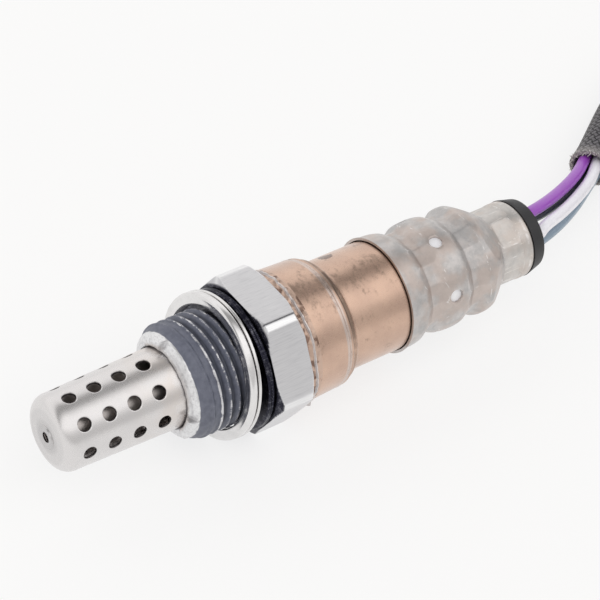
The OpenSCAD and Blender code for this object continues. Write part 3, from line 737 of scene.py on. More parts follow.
# %% The crimped edge
TABS = (-26, 110, 222)  # the middles of the stretches that stand up
CRIMP_END = 20.68


def tabs(phi):
    """1 on the three stretches of the crimped edge that stand up, 0 between them."""
    return np.max([1 - smooth_step((abs(wrapped(phi - t, 360)) - 17.5) / 2.0) for t in TABS], 0)


def crimped_edge(phi):
    """From the shield outwards: the edge slopes where the tool pressed it, and stands up
    on the three stretches between. Lumps fade out towards both ends."""
    tab = tabs(phi)
    slope = profile([(19.8, 6.24), (19.68, 6.3), (19.63, 6.5), (19.76, 6.9), (20.05, 7.4),
                     (20.38, 7.9), (20.52, 8.08), (CRIMP_END, 8.16)], 3)
    stand = profile([(19.8, 6.24), (19.62, 6.34), (19.35, 6.6), (19.22, 6.9), (19.2, 7.5),
                     (19.34, 7.82), (19.7, 8.02), (CRIMP_END, 8.16)], 3)
    for i, (a, b) in enumerate(zip(slope, stand)):
        s, r = a[0] + (b[0] - a[0]) * tab, a[1] + (b[1] - a[1]) * tab
        lump = 0.045 * uneven(phi, s, 3, turns=36, length=1.5) * smooth_step(i / 5)
        yield s + lump, r + lump * 0.5 * smooth_step((len(slope) - 1 - i) / 3)


# %% Thread and hexagon
THREAD_PITCH = 1.5
CREST_R, PASTE_R, ROOT_R = 9.0, 8.16, 8.1
MIDDLE_CREST, THREAD_END = 26.8, 28.95
HEX_FRONT, HEX_REAR = 31.85, 38.15
CORNER_R = 12.38
FRONT_SLOPE = 2.3  # of the cone, in radius over station


def past_crest(s, phi):
    """The way from the middle crest, which moves on by a pitch each turn."""
    return s - MIDDLE_CREST - THREAD_PITCH * wrapped(phi - 30, 360) / 360


def thread(s, phi):
    """A right-hand helix whose crests lie a pitch apart. Paste fills it at the front, with
    a fine groove behind the first crest, and thins out behind the second."""
    along = past_crest(s, phi)
    x = wrapped(along, THREAD_PITCH)
    ridge = CREST_R - np.clip((abs(x) - 0.1) * 1.7, 0, 0.85) - 0.05 * bell(x, 0.2)
    start = smooth_step((along + 5.6) / 0.8)
    end = smooth_step((THREAD_END - s) / 0.25)
    r = ROOT_R + (ridge - ROOT_R) * start * end
    swell, fade = smooth_step((s - 20.7) / 1.3), smooth_step((along + 3.3) / 1.2)
    paste = PASTE_R + 0.5 * (swell - fade)
    paste = paste - 0.2 * bell(along + 4.2, 0.09) + 0.02 * uneven(phi, s, 8, turns=20)
    return -smooth_min(-r, -paste, 0.1)  # the higher of the two, rounded


def flats(phi):
    """The radius of the six flats: half the width over the cosine."""
    return FLAT_R / np.cos(np.radians(wrapped(phi, 60)))


def hexagon(s, phi):
    """Flats 22 mm apart, between a cone at each end, with corners rounded to 12.4 mm."""
    front, rear = 11.12 + (s - HEX_FRONT) * FRONT_SLOPE, 11.4 + (HEX_REAR - s) * 1.5
    limit = smooth_min(smooth_min(front, rear, 0.1), CORNER_R, 0.2)
    return smooth_min(flats(phi), limit, 0.13)


# %% The housing's rings
FINE = 288  # columns round the housing, the bead and the cover
FULL_TURN = np.arange(FINE) * 360 / FINE
FULL_TURN = FULL_TURN - 5.73 * np.sin(np.radians(6 * (FULL_TURN - 30)))  # denser at the corners


def housing_surface():
    """The outer side from the crimped edge to the collar under the sleeve, and the inner
    side back to it, as rings of the same directions."""
    phi = FULL_TURN
    rings = list(crimped_edge(phi))
    rings += [(s, thread(s, phi)) for s in np.arange(20.75, 29.1, 0.08)]
    rings += [tuple(p) for p in profile(
        [(29.15, 8.04), (29.3, 8.0), (30.3, 8.0), (30.5, 8.08), (30.65, 8.3), (30.65, 10.6),
         (30.7, 10.76), (30.84, 10.88), (31.05, 10.9), (31.2, 10.84), (31.3, 10.84),
         (31.4, 10.9), (31.6, 10.88), (31.75, 10.8), (31.82, 10.7)], 2)]
    stations = [HEX_FRONT, 31.88, *np.linspace(31.92, 33.0, 13), *np.linspace(33.2, 37.1, 14),
                *np.linspace(37.25, 38.1, 11), HEX_REAR]
    rings += [(s, hexagon(s, phi)) for s in stations]
    rings += [tuple(p) for p in profile(
        [(38.15, 10.3), (38.2, 9.6), (42.9, 9.6), (43.95, 8.4), (43.95, 6.7), (42.85, 6.7),
         (42.05, 7.5), (31.0, 7.5), (31.0, 5.0), (21.6, 5.0), (21.6, 4.3), (20.9, 4.3),
         (20.9, 7.05), (20.1, 7.05), (20.1, 6.26)])]
    grid = np.array([np.stack(np.broadcast_arrays(s, r, phi), -1) for s, r in rings])
    faces = grid_faces(len(rings) + 1, FINE) % (len(rings) * FINE)
    return grid.reshape(-1, 3), faces


# %% [markdown]
# The thread carries a slate-blue paste that keeps it from seizing, worn off in specks on the
# crests. The neck, the thread's roots and the cone in front of the flats carry painted shade, the
# corners and edges painted highlights that are partly wear, and the collar painted shade beside its
# tabs next to the lines of the crimping tool. Painting these by hand would need an image.
# Instead each is a number at each point, worked out from the same stations, radii and
# directions as the form.

# %% Where the housing is coated, worn, dark or bright
def thread_marks(s, r, phi):
    """Paste up to a wavy edge in front, bare metal on the crests, and painted shade in the roots.
    """
    along = past_crest(s, phi)
    in_thread = smooth_step((s - 20.6 - 0.035 * uneven(phi, s * 0, 21, turns=60)) / 0.12)
    crest = smooth_step((r - 8.8) / 0.1) * (s < 29.1)
    front_crest = smooth_step((-3.7 - along) / 0.2)
    wide_patch = 0.6 * bell(along + 3.05, 0.35) * bell(wrapped(phi - 70, 360), 50)
    flank = 0.4 * crest + 0.7 * bell(along + 3.2, 0.16)
    root = (1 - smooth_step((r - 8.15) / 0.45)) * (along > -2.6) * (s < 29.3)
    return {"paste": in_thread * (s < 29.1) * (r > 7.2),
            "bare": (0.75 - 0.43 * front_crest) * crest + wide_patch * flank,
            "root": 0.85 * root}


def collar_marks(s, r, phi):
    """Pressed metal, painted shade as dark lines beside the tabs, and tool lines along two rings.
    """
    # Painted shade along the steps at the tabs' ends.
    beside_tabs = [bell(abs(wrapped(phi - t, 360)) - 18.4, 0.9) for t in TABS]
    rings = 0.5 * bell(r - 7.15, 0.14) * (1 - tabs(phi)) + 0.35 * bell(r - 6.6, 0.1)
    return {"pressed": (s < 20.72) * (r > 6.3) * 1.0, "tab_shade_and_rings": np.max(beside_tabs, 0) + rings}


def hexagon_marks(s, r, phi):
    """Painted highlights on the corners and edges, partly wear; painted shade on the cone but for
    the tips of its corners, and one painted dark line along a flat beside a corner; also painted
    shade on the neck and seat flange and in the gap round the shield."""
    flat = flats(phi)
    on_hexagon = (s > HEX_FRONT + 0.01) * (s < HEX_REAR - 0.05)
    corner = bell(wrapped(phi - 30, 60), 2.6) * (s > 31.95) * on_hexagon * (flat - r > 0.05)
    edge = bell(flat - r - 0.06, 0.05) * on_hexagon
    past_cone = np.minimum(flat, CORNER_R) - 11.1 - (s - HEX_FRONT) * FRONT_SLOPE
    cone = np.clip(past_cone / 0.1, 0, 1) * (s > HEX_FRONT - 0.01) * (s < 33)
    wide_tip = 0.5 * (abs(wrapped(phi + 30, 360)) < 25)
    tip = smooth_step((r - 11.7 + wide_tip) / 0.3) * (abs(wrapped(phi, 360)) < 60)
    # A painted dark line beside the corner at 30 degrees, where a dark reflection falls.
    painted_dark_line = bell(wrapped(phi - 27.3, 360), 0.55) * (s > 32.2) * (s < 37.8)
    neck = smooth_step((s - 28.9) / 0.3) * (s < 31.9) * (r > 7.6)
    gap = (s < 20.3) * (r < 6.45) * (r > 6.2)
    # Painted shade: the neck and seat flange, the gap round the shield, and the cone but for the
    # tips of its corners.
    dark = neck + 0.8 * gap + cone * (1 - 0.8 * tip) + 0.85 * painted_dark_line
    # Painted highlights, partly wear, on the corners and edges; the collar is a lighter tone.
    bright = np.clip(corner + 0.8 * edge * (1 - cone) + 0.7 * (s < 20.7), 0, 1)
    return {"dark": np.clip(dark, 0, 1), "bright": bright * (1 - painted_dark_line)}


# %% The housing's finish
def housing_finish():
    """Satin steel with slate-blue paste in the thread, worn off in specks on its crests, and
    painted shade, near black, round the neck and on the hexagon's front, with painted highlights,
    partly wear, on its corners and edges. Numbers at each point tell where these are."""
    f = Finish("housing_steel")
    scratch = f.noise(0.1, stretch=(30, 1, 1), detail=4)
    deep = f.noise(0.22, stretch=(14, 1, 1), detail=4, at=(2, 5, 5)).step(0.52, 0.72)
    cloud = f.noise(3.0, detail=6, roughness=0.62)
    clump = f.noise(0.9, detail=4, at=(1, 1, 4))
    speck = f.noise(0.13, detail=2)
    paste, bare, dark = f.attribute("paste"), f.attribute("bare"), f.attribute("dark")
    pressed = f.attribute("pressed")
    worn = (bare + (speck - 0.5) * 1.5 + (clump - 0.5) * 1.7).step(0.74, 0.86)
    rim = (paste + (speck - 0.5) * 0.9).step(0.4, 0.6)
    covered = paste * (1 - worn) * rim
    metal = f.mix(cloud.step(0.35, 0.75) * 0.35, (0.72, 0.715, 0.73), (0.64, 0.635, 0.655))
    metal = f.mix(deep * 0.5, metal, (0.48, 0.48, 0.5))
    # Painted highlights, partly wear, on the hexagon's corners and edges, and the collar's lighter
    # tone.
    metal = f.mix(f.attribute("bright") * 0.9, metal, (0.95, 0.95, 0.95))
    streak = (scratch * 0.6 + clump * 0.4).step(0.5, 0.66)
    # Painted shade: near black with lighter streaks, wherever the dark mark is.
    black = f.mix(streak * 0.6, (0.02, 0.02, 0.032), (0.3, 0.3, 0.34))
    metal = f.mix(dark, metal, black)
    mud = f.mix(clump.step(0.3, 0.7), (0.12, 0.13, 0.175), (0.165, 0.175, 0.225))
    # Painted shade: the paste is darkened in the thread's roots.
    mud = f.mix(f.attribute("root"), mud, (0.045, 0.05, 0.07))
    dull = f.noise(0.3, stretch=(1, 2, 2), detail=6, roughness=0.7, at=(6, 2, 2)).step(0.42, 0.68)
    # The collar's dull patches, with painted shade beside the tabs and tool lines along two rings.
    dull = (dull * 0.6 + f.attribute("tab_shade_and_rings")).clip()
    metal = f.mix(pressed * dull * 0.75, metal, (0.38, 0.37, 0.38))
    metal = f.mix((scratch - 0.42) * 0.9 * (1 - dark), metal, (0.42, 0.42, 0.44))
    f.set("Base Color", f.mix(covered, metal, mud))
    f.set("Metallic", 1 - covered)
    f.set("Roughness", 0.26 + scratch * 0.12 + covered * 0.17)
    scratched = scratch * 0.12 - deep * 0.06 * (1 - paste)
    hammered = f.noise(0.6, detail=5, roughness=0.7) * pressed
    return f.bump(scratched + covered * (0.5 + clump * 0.4) + hammered * 1.6, 0.03)


points, faces = housing_surface()
marks = {**thread_marks(*points.T), **collar_marks(*points.T), **hexagon_marks(*points.T)}
build("crimped_housing", place(*points.T), faces, housing_finish(), "housing", sharp=40,
      marks=marks)

# %% [markdown]
# ## The gasket
# The gasket is a strip of sheet folded on itself, and it hangs loose behind the thread, so
# it leans. Its folded profile is swept round the axis like a turned piece, and one function
# then turns and lifts the whole ring, so the profile stays as simple as on a drawing.

# %% A solid of revolution
ROUND = 192  # columns round the gasket and the sleeve


def round_grid(line, columns):
    """Stations, radii and directions of each point of a profile at every column."""
    phi = np.arange(columns) * 360 / columns
    return [v.reshape(-1) for v in np.broadcast_arrays(line[:, :1], line[:, 1:], phi)]


def revolved(line, columns, change=None):
    """A closed profile of (station, radius) swept round the axis. Change may move the
    points, given as stations, radii and directions."""
    grid = round_grid(line, columns)
    faces = grid_faces(len(line) + 1, columns) % len(grid[0])
    return place(*(change(*grid) if change else grid)), faces


# %% The gasket
GASKET_STATION, GASKET_LIFT, LEAN = 28.1, 0.22, -6.5
gasket_line = profile(
    [(0.32, 9.35), (0.12, 9.38), (0.02, 9.5), (0, 9.66), (0.03, 10.3), (0.0, 10.62),
     (0.05, 10.84), (0.22, 11.06), (0.5, 11.15), (0.9, 11.15), (1.07, 11.06), (1.15, 10.9),
     (1.15, 9.95), (1.35, 9.95), (1.35, 10.95), (1.4, 11.08), (1.55, 11.15), (1.75, 11.13),
     (1.88, 11.0), (1.9, 10.8), (1.9, 9.6), (1.85, 9.42), (1.7, 9.35)], 3)


def leaning(s, r, phi):
    """The ring turned about its own middle, its top to the rear, and lifted; two dents in
    its front show where it was staked."""
    near_dents = sum(bell(wrapped(phi - a, 360), 0.35 / 0.18) for a in (-38, 150))
    s = s + 0.09 * bell(r - 10.25, 0.3) * near_dents * (s < 0.3)
    s = s + 0.02 * uneven(phi, s * 0, 5, turns=9)
    out, across, axial = r * np.cos(np.radians(phi)), r * np.sin(np.radians(phi)), s - 0.95
    t = np.radians(LEAN)
    height = out * np.cos(t) + axial * np.sin(t) + GASKET_LIFT
    along = axial * np.cos(t) - out * np.sin(t)
    turned_phi = np.degrees(np.arctan2(across, height))
    return GASKET_STATION + along, np.hypot(height, across), turned_phi


gasket_steel = steel("gasket_steel", (0.80, 0.79, 0.785), rough=0.2, mottle=0.15, size=2.0)
build("folded_gasket", *revolved(gasket_line, ROUND, leaning), gasket_steel, "gasket", sharp=45)

# %% [markdown]
# ## The weld bead
# A laser runs round the sensor once and welds the sleeve to the housing. The melt leaves a
# ridge that wanders a little along the axis, with a few lumps. The same waves as on the
# crimp, drawn with other seeds, move the ridge and lift its surface.

# %% The weld bead
bead_line = profile(
    [(38.12, 9.6), (38.14, 10.5), (38.4, 10.55), (38.9, 10.45), (39.25, 10.5), (39.44, 10.68),
     (39.54, 10.84), (39.68, 10.86), (39.82, 10.7), (39.94, 10.46), (40.3, 10.38), (40.62, 10.29),
     (40.6, 9.6)], 4)


def wandering(s, r, phi):
    """The ridge wanders along the axis, and swells and sinks as the weld pool did; the
    ends of the bead and its inside stay."""
    outer = smooth_step((r - 9.9) / 0.5)
    outer = outer * smooth_step((s - 38.3) / 0.6) * smooth_step((40.6 - s) / 0.4)
    s = s - 0.16 * outer * (1 + uneven(phi, s * 0, 11, turns=13))
    lumps = sum(bell(wrapped(phi - a, 360), 2.5) for a in (-9, 4, 31, 118, 247))
    swell = 0.09 * uneven(phi, s, 12, turns=60, length=1.0) + 0.24 * lumps
    return s, r + outer * (swell - 0.04), phi


def bead_finish():
    """Brown heat-tinted metal in two tones, and a bright ridge with a ragged edge."""
    f = Finish("bead_steel", Metallic=1.0)
    ridge = (f.attribute("ridge") + (f.noise(0.5) - 0.5) * 0.7).step(0.45, 0.7)
    cloud = f.noise(2.0, detail=4)
    base = f.mix(cloud.step(0.5, 0.6), (0.62, 0.45, 0.36), (0.24, 0.155, 0.12))
    f.set("Base Color", f.mix(ridge * 0.75, base, (0.7, 0.68, 0.68)))
    f.set("Roughness", 0.3 + cloud * 0.15)
    return f.bump(f.noise(0.25), 0.02)


s, r, phi = round_grid(bead_line, FINE)
build("laser_bead", *revolved(bead_line, FINE, wandering), bead_finish(), "weld_bead", sharp=60,
      marks={"ridge": smooth_step((r - 10.52) / 0.2)})

# %% [markdown]
# ## The protective sleeve
# The sleeve is drawn steel that the heat of the weld coloured like bronze. Its wide front rolls
# into a neck, which is rubbed bright with painted shade in the groove behind it, and its narrow
# rear goes under the cover. The tint follows clouds of noise, so it looks like heat and not like
# paint.

# %% The sleeve's profile
SLEEVE_R, SHEET = 8.65, 0.5
t = np.linspace(0, 1, 25)
ripple = 0.12 * np.sin(t * 19) * smooth_step(t / 0.2) * smooth_step((1 - t) / 0.15)
neck = np.stack([45.35 + t * 2.65, 8.72 + 1.38 * (1 - t * t) ** 0.7 + ripple], -1)
barrel = [(s, SLEEVE_R) for s in np.arange(49, 57.6, 0.5)]
sleeve_line = np.concatenate([
    profile([(40.3, 10.3), (41.05, 10.3), (43, 10.22), (45.1, 10.12)], 3), neck,
    profile([(48.15, 8.7), (48.4, SLEEVE_R), *barrel, (57.8, SLEEVE_R), (59.6, 8.3),
             (60.2, 7.95), (61.0, 7.15), (61.6, 6.85), (76.4, 6.85)], 3)])
sleeve_loop = np.concatenate([sleeve_line, inside(sleeve_line, SHEET)[::-1]])


# %% The sleeve's finish
def bronze_finish():
    """Steel with the brown tint of heat, dark patches that gather near the top, bright wear on the
    neck, and painted shade in the groove behind it.
    """
    f = Finish("sleeve_steel", Metallic=1.0, Coat_Weight=0.5, Coat_Roughness=0.28)
    grain = f.noise(0.14, stretch=(3, 1, 1), detail=3)
    cloud = f.noise(4.0, detail=6, roughness=0.6)
    stain = f.noise(2.0, stretch=(1, 1.5, 1.5), detail=7, roughness=0.75, at=(3, 3, 9))
    # Darker patches from noise, gathered towards the top.
    darker_patch = (stain + f.attribute("top") * 0.13).step(0.55, 0.72)
    neck_rise = f.behind(44.975, 45.575) * (1 - f.behind(45.975, 46.575))
    worn = (neck_rise * 0.9 + (cloud - 0.5) * 0.5).step(0.4, 0.8)
    # Painted shade in the groove behind the neck, strongest at 25 degrees from the top towards the
    # camera's side.
    neck_foot = f.behind(46.175, 46.775) * (1 - f.behind(47.175, 48.475))
    groove = neck_foot * cloud.step(0.25, 0.5) * f.attribute("shade")
    base = f.mix(cloud.step(0.3, 0.7), (0.66, 0.45, 0.34), (0.57, 0.385, 0.295))
    base = f.mix((grain - 0.4) * 0.5, base, (0.74, 0.58, 0.46))
    base = f.mix(worn * 0.6, base, (0.66, 0.6, 0.57))
    base = f.mix(groove * 0.95, base, (0.16, 0.11, 0.08))
    base = f.mix(darker_patch * 0.6, base, (0.19, 0.13, 0.10))
    burnt = (f.attribute("burnt") + (stain - 0.5) * 1.5).step(0.45, 0.55)
    f.set("Base Color", f.mix(burnt * 0.85, base, (0.12, 0.055, 0.035)))
    f.set("Roughness", 0.29 + darker_patch * 0.12 + (grain - 0.5) * 0.12)
    return f.bump(grain * 0.6 + cloud * 0.2, 0.006)


s, r, phi = round_grid(sleeve_loop, ROUND)
# The top mark gathers the darker patches; the shade mark sets where the groove's painted shade is
# strongest.
marks = {"top": bell(wrapped(phi - 8, 360), 16),
         "burnt": bell(wrapped(phi + 33, 360), 9) * bell(s - 51.3, 1.3),
         "shade": 0.25 + 0.75 * bell(wrapped(phi - 25, 360), 50)}
build("bronze_sleeve", *revolved(sleeve_loop, ROUND), bronze_finish(), "protective_sleeve",
      sharp=50, marks=marks)

# %% [markdown]
# ## The crimped cover
# A drawn shell is slid over the sleeve and a porous membrane and pressed by sixteen jaws
# at two places, so that two lands with narrow facets stay, and the sheet between them
# bulges. Six more jaws press panels into its barrel, which hold the grommet. The radius is
# one function of station and direction, so that each form runs smoothly into the next.

# %% The cover's line
LANDS = (63.525, 71.275)  # the middles of the two crimps
LAND_R = 8.0
SHOULDER = 73.4


def shell_line(s):
    """Skirt, land, band, land, shoulder and barrel, each a curve of the way along it."""
    def way_along(start, length):
        return np.clip((s - start) / length, 0, 1)

    t = way_along(58.1, 4.65)
    skirt = LAND_R + 1.0 * (1 - t**3.5) + 0.2 * (1 - smooth_step(t / 0.2))
    belly = LAND_R + 0.8 * (1 - abs(2 * way_along(64.3, 6.2) - 1) ** 3)
    rise = LAND_R + 0.7 * (1 - (1 - way_along(72.05, 1.35)) ** 2)
    fall = np.maximum(5.85 + 2.85 * (1 - way_along(SHOULDER, 4.95) ** 3) ** 1.7, 6.05)
    return np.select([s < LANDS[0], s < LANDS[1], s < SHOULDER], [skirt, belly, rise], fall)


# %% The cover's facets, panels and lip
FACET_R, FACET_TURN = 7.8, 22.5
PANEL_R, PANEL_TURN = 5.65, 60
LIP = 82.0


def cover_radius(s, phi):
    """The shell's line, evened out over 0.6 mm and cut by the flat facets of the lands and by the
    six panels, whose radius is their distance over the cosine; then the lip. Also where ridges are,
    which get painted highlights."""
    r = np.mean([shell_line(s + d) for d in np.linspace(-0.3, 0.3, 5)], 0)
    r = r + 0.025 * uneven(phi, s, 31, turns=8, length=6.0)
    ridge = 0 * s
    facet = FACET_R / np.cos(np.radians(wrapped(phi - 19.25, FACET_TURN)))
    facet = facet + 0.012 * uneven(phi, s, 32)
    for middle in LANDS:
        cut = facet + 0.6 * np.maximum(abs(s - middle) - 0.72, 0)
        ridge = ridge + bell(r - cut, 0.035) * (abs(s - middle) < 2.2) + 0.4 * bell(s - middle, 0.8)
        r = smooth_min(r, cut, 0.12)
    panel = PANEL_R / np.cos(np.radians(wrapped(phi - 28, PANEL_TURN)))
    panel = panel + 0.7 * np.maximum(np.maximum(78.5 - s, s - 81.6), 0)
    ridge = ridge + bell(r - panel, 0.05) * (s > 77.5) * (s < LIP)
    r = np.where(s > SHOULDER, smooth_min(r, panel, 0.08), r)
    lip = 6.15 - 0.22 * (1 - smooth_step((s - 81.9) / 0.5))
    lip = lip - 0.2 * smooth_step((s - 83.6) / 0.4) ** 2
    ridge = ridge + bell(s - 83.2, 0.35) + bell(s - 82.05, 0.08)
    return np.where(s > LIP, lip, r), ridge


# %% The cover's sheet
VENTS = (64.9, 66.7, 68.5)  # the front, the middle and the rear of their windows
VENT_TURN, VENT_POINTS = 60, (FINE // 6, 24)
BAND_R = 8.8
COVER_PHI0 = -18.25
COVER_SHEET, RIM_DIP = 0.4, 0.08


def cover_sheet():
    """Plain bands, and six windows with the vent holes, whose rims dip a little."""
    front = np.r_[58.1, 58.13, 58.2, 58.35, np.arange(58.6, 64.85, 0.16), VENTS[0]]
    rear = np.r_[VENTS[2], np.arange(68.65, 83.98, 0.16), 84.0]
    parts = [band(COVER_PHI0, front, FINE)]
    for a in COVER_PHI0 + VENT_TURN * np.arange(6):
        window = (a, a + VENT_TURN), VENTS[::2], (a + 30.25, VENTS[1])
        parts.append(hole_window(*window, BAND_R, *VENT_POINTS))
    parts.append(band(COVER_PHI0, rear, FINE))
    uv, faces = joined(parts)
    phi, s = uv.T
    r, ridge = cover_radius(s, phi)
    outer = np.stack([s, r - RIM_DIP * rim_marks(parts), phi], -1)
    inner = np.stack([s, r - COVER_SHEET, phi], -1)
    key = place(s, LAND_R, phi) / MM
    faces, outer, inner, ridge = welded(key, faces, outer, inner, ridge)
    points, faces = closed_sheet(place(*outer.T), place(*inner.T), faces)
    return points, faces, {"ridge_highlight": np.clip(np.tile(ridge, 2), 0, 1)}


# %% The cover's finish
def cover_finish():
    """Dull nickel: grey and warm clouds, fine pits, and patchy painted highlights on the ridges;
    the barrel is paler, with fine dashes from the tool."""
    f = Finish("cover_steel", Metallic=1.0, Coat_Weight=0.5, Coat_Roughness=0.35)
    grain = f.noise(0.15, detail=3)
    cloud = f.noise(2.6, detail=8, roughness=0.72)
    warm = f.noise(5.0, detail=5, at=(4, 4, 1))
    spot = f.noise(0.7, detail=5, at=(8, 1, 3))
    base = f.mix(cloud.step(0.35, 0.65), (0.63, 0.6, 0.585), (0.46, 0.45, 0.445))
    base = f.mix(warm.step(0.42, 0.62) * 0.6, base, (0.58, 0.47, 0.41))
    base = f.mix(spot.step(0.6, 0.8) * 0.4, base, (0.36, 0.34, 0.33))
    patchy = f.noise(1.6, detail=4, at=(9, 9, 9)).step(0.46, 0.62)
    # Painted highlights along the ridges, facet edges and lip, in patches.
    ridge = (f.attribute("ridge_highlight") + (cloud - 0.5) * 0.9).step(0.4, 0.85) * patchy
    dash = f.noise(0.3, stretch=(9, 1.2, 1.2), detail=3, at=(7, 7, 2)).step(0.6, 0.7)
    barrel = f.behind(77.675, 78.675)
    base = f.mix(barrel * 0.3, base, (0.74, 0.7, 0.64))
    base = f.mix(barrel * dash * 0.5, base, (0.9, 0.86, 0.8))
    f.set("Base Color", f.mix(ridge * 0.6, base, (0.9, 0.88, 0.87)))
    f.set("Roughness", 0.4 + cloud * 0.08 + (grain - 0.5) * 0.1 - ridge * 0.1)
    return f.bump(grain * 0.4 + spot * 0.4 + barrel * dash * 1.2, 0.012)


points, faces, marks = cover_sheet()
build("crimped_cover", points, faces, cover_finish(), "cover_shell", sharp=35, marks=marks)

# %% [markdown]
# ## Pieces whose CAD form is already right
# The pieces inside the sensor and in the connector keep their CAD meshes and only get a
# finish: steel, ceramic, pressed powder, porous plastic, or a pale copper alloy for what
# carries current. A single colour would look like plastic under any light, so each has faint
# noise in its colour, gloss and surface.

# %% Plain finishes
def plain(name, color, rough, metal=0.0, spread=0.15):
    """A single material with faint unevenness of colour, gloss and surface."""
    f = Finish(name, Metallic=metal)
    n = f.noise(0.8)
    low, high = (tuple(min(1, c * k) for c in color) for k in (1 - spread, 1 + spread))
    f.set("Base Color", f.mix(n, low, high))
    f.set("Roughness", rough + n * 0.15)
    return f.bump(n, 0.02)


# %% The pieces inside
contact_metal = plain("contact_metal", (0.75, 0.62, 0.4), 0.25, metal=1.0)
ceramic = plain("ceramic", (0.8, 0.79, 0.76), 0.5)
CERAMICS = ("sensing_element", "front_insulator", "rear_insulator", "contact_holder")
CONTACTS = [f"{kind}_{n}" for kind in ("contact_clip", "terminal") for n in range(1, 5)]
INSIDE = {
    "inner_shield": steel("inner_steel", (0.55, 0.51, 0.49), rough=0.38),
    "vent_membrane": plain("membrane", (0.93, 0.93, 0.96), 0.6, spread=0.03),
    "talc_packing": plain("talc", (0.6, 0.6, 0.58), 0.8),
    "packing_ring": steel("packing_steel", (0.6, 0.6, 0.6)),
    "holder_ring": steel("holder_steel", (0.65, 0.65, 0.65)),
    **dict.fromkeys(CERAMICS, ceramic),
    **dict.fromkeys(CONTACTS, contact_metal),
}
for name, finish in INSIDE.items():
    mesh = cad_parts[name].data
    mesh.materials.clear()
    mesh.materials.append(finish.material)
print("CAD pieces with a finish:", len(INSIDE))

# %% [markdown]
# Moulded rubber and plastic have no knife edges. The grommet and the connector's pieces are
# therefore copied, their loose triangles are merged into clean faces, and a bevel modifier
# breaks their edges. That is quicker than modelling each fillet, and it follows the CAD
# form if that changes.

# %% Softened copies of CAD pieces
def softened(node, name, finish, width):
    """A copy of a CAD piece with its points merged and its edges bevelled."""
    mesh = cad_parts[node].data.copy()
    work = bmesh.new()
    work.from_mesh(mesh)
    bmesh.ops.remove_doubles(work, verts=work.verts, dist=1e-6)
    bmesh.ops.dissolve_limit(work, angle_limit=0.01, verts=work.verts, edges=work.edges)
    work.to_mesh(mesh)
    work.free()
    mesh.transform(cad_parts[node].matrix_world)
    piece = linked(name, dressed(mesh, finish, 30))
    bevel = piece.modifiers.new("bevel", "BEVEL")
    bevel.width, bevel.segments, bevel.limit_method = width * MM, 2, "ANGLE"
    bevel.angle_limit = np.radians(40)
    bevel.harden_normals = True
    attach(piece, "root")
    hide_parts(node)
    print(f"{name}: {len(mesh.polygons)} faces before its bevel")


grommet_rubber = plain("grommet_rubber", (0.016, 0.016, 0.018), 0.42)
connector_plastic = plain("connector_plastic", (0.03, 0.03, 0.032), 0.38)
lock_plastic = plain("lock_plastic", (0.35, 0.05, 0.03), 0.35)
seal_rubber = plain("seal_rubber", (0.12, 0.16, 0.2), 0.55)
softened("grommet", "rubber_grommet", grommet_rubber, 0.2)
softened("connector_housing", "connector_body", connector_plastic, 0.25)
softened("terminal_lock", "lock_bar", lock_plastic, 0.12)
softened("rear_seal", "wire_seal", seal_rubber, 0.1)

# %% [markdown]
# Where the woven sleeve ends, the four wires come out in a bundle of two by two, turn round
# inside the coil and spread to their own lines in the connector's seal. The spread follows
# a smooth step of the way round the bend, so that no wire has a kink.

# %% The wires between the coil and the connector
TAIL_R = 12.5       # the bend of the bundle's middle
BUNDLE = 0.97       # from the bundle's middle to each wire, across and up
SEAL_HEIGHT = 5.0
SEAL_STATIONS = (113, 115, 117, 119, 121, 123.5)
TAIL_Y = {"purple": 4.75, "white": 1.25, "blue_grey": -2.25, "black": -5.75}
BACK, OUTWARD = np.array([0.5, -0.866, 0]), np.array([-0.866, -0.5, 0])  # at the sleeve's end
BEND_CENTRE = sleeve_route[-1, :2] + TAIL_R * around(np.radians(30))


def tail_route(level, offset, y):
    """From a millimetre inside the sleeve a bend of 120 degrees, whose radius goes from
    the wire's place in the bundle to its own terminal's line, and then straight into the
    seal."""
    t = np.linspace(0, 1, 25)
    s = smooth_step(t)
    r = TAIL_R + offset + (y - BEND_CENTRE[1] - TAIL_R - offset) * s
    bend = BEND_CENTRE + r[:, None] * around(np.radians(210 - 120 * t))
    z = sleeve_route[-1, 2] + level
    z = z + (SEAL_HEIGHT - z) * s**2
    before = sleeve_route[-1] + BACK + (offset * OUTWARD + [0, 0, level])
    rear = [[x, y, SEAL_HEIGHT] for x in SEAL_STATIONS]
    return np.concatenate([before[None], np.column_stack([bend, z]), rear])


for i, (name, y) in enumerate(TAIL_Y.items()):
    level, offset = BUNDLE * (-1) ** i, BUNDLE * (-1) ** (i // 2)
    route = smooth_route(tail_route(level, offset, y), 1.0)
    tube, faces = capped(swept(route, WIRE_D / 2, 16))
    tail = build(f"tail_{name}_run", MM * tube, faces, INSULATION[name], "tail_" + name)
    "wire_" + name

# %% [markdown]
# ## The floor
# The sensor lies on white paper. To make lit paper white, the lights would have to be so
# strong that they bleach the metal. So what the camera sees of it is partly paper and partly
# a plain white glow. The shadows stay, because they fall on the share that is paper.

# %% The floor
floor_mesh = bpy.data.meshes.new("floor")
floor_mesh.from_pydata([(-3, -3, 0), (3, -3, 0), (3, 3, 0), (-3, 3, 0)], [], [(0, 1, 2, 3)])
floor = linked("floor", floor_mesh)


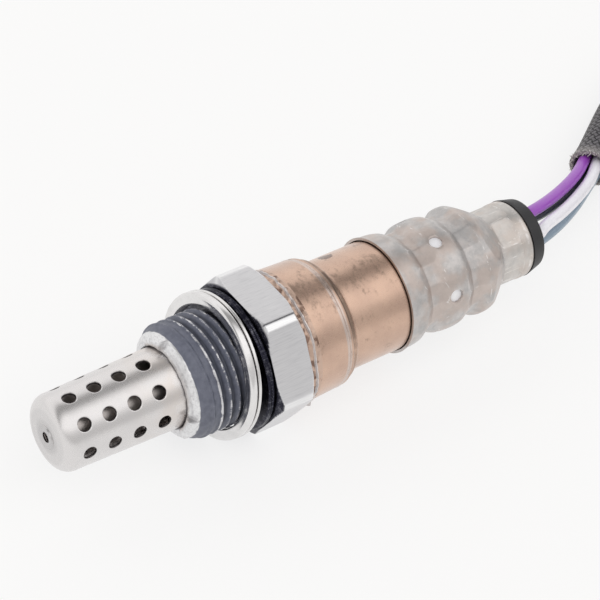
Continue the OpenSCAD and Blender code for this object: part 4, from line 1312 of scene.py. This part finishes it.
def floor_finish():
    """Matt white paper. What the camera, a reflection or a clear coat sees of it is
    lifted to white, and the shadows stay."""
    f = Finish("floor_paper")
    kinds = ("Is Camera Ray", "Is Glossy Ray", "Is Transmission Ray")
    by_camera, by_gloss, by_glass = [f.add("LightPath", out=kind) for kind in kinds]
    seen = (by_camera + by_gloss + by_glass).clip() * 0.76
    paper = f.add("BsdfDiffuse", {}, {"Color": (1.0, 0.99, 0.93, 1)})
    glow = f.add("Emission", {}, {"Color": (0.99, 0.99, 1, 1), "Strength": 1.0})
    both = f.add("MixShader", {}, {0: seen, 1: paper, 2: glow})
    f.plug(f.tree.nodes["Material Output"].inputs["Surface"], both)
    return f.material


floor_mesh.materials.append(floor_finish())

# %% [markdown]
# ## The light
# Two broad, soft lights: one behind the sensor and one above the camera's side, with a
# darker gap between them overhead. Each round piece mirrors that gap as a dark line along
# its upper side, which is what makes polished metal look like metal. The lights are painted
# on the world as soft lobes of the angle round the sensor's axis, so every piece mirrors
# them at the same place round its circumference.

# %% The studio
class Studio(Finish):
    """The world's nodes, written with the same signs as a finish."""

    def __init__(self, name):
        self.world = bpy.data.worlds.new(name)
        self.world.use_nodes = True
        self.tree = self.world.node_tree
        self.shader = self.tree.nodes["Background"]


studio = Studio("studio")
bpy.context.scene.world = studio.world
_, rearward, upward = studio.parts(studio.add("TexCoord", out="Generated"))
roll = studio.add("Math", {"operation": "ARCTAN2"}, {0: upward, 1: rearward}) * (180 / np.pi)

# %% Lobes of light round the axis
PLAIN_LEVEL = 0.78
LOBES = (  # middle, half width and soft edge in degrees of roll, and the light it adds
    (30, 14, 25, 0.25),
    (118, 14, 18, 0.4),
    (72, 8, 12, -0.44),
    (165, 5, 14, -0.12),
)
level = PLAIN_LEVEL
for middle, half, soft, light in LOBES:
    level = level + (1 - abs(roll - middle).step(half, half + soft)) * light
studio.set("Color", (1.0, 0.99, 0.985, 1)).set("Strength", level)

view = bpy.context.scene.view_settings
view.view_transform = "Standard"
print("light: plain level", PLAIN_LEVEL, "and", len(LOBES), "lobes")
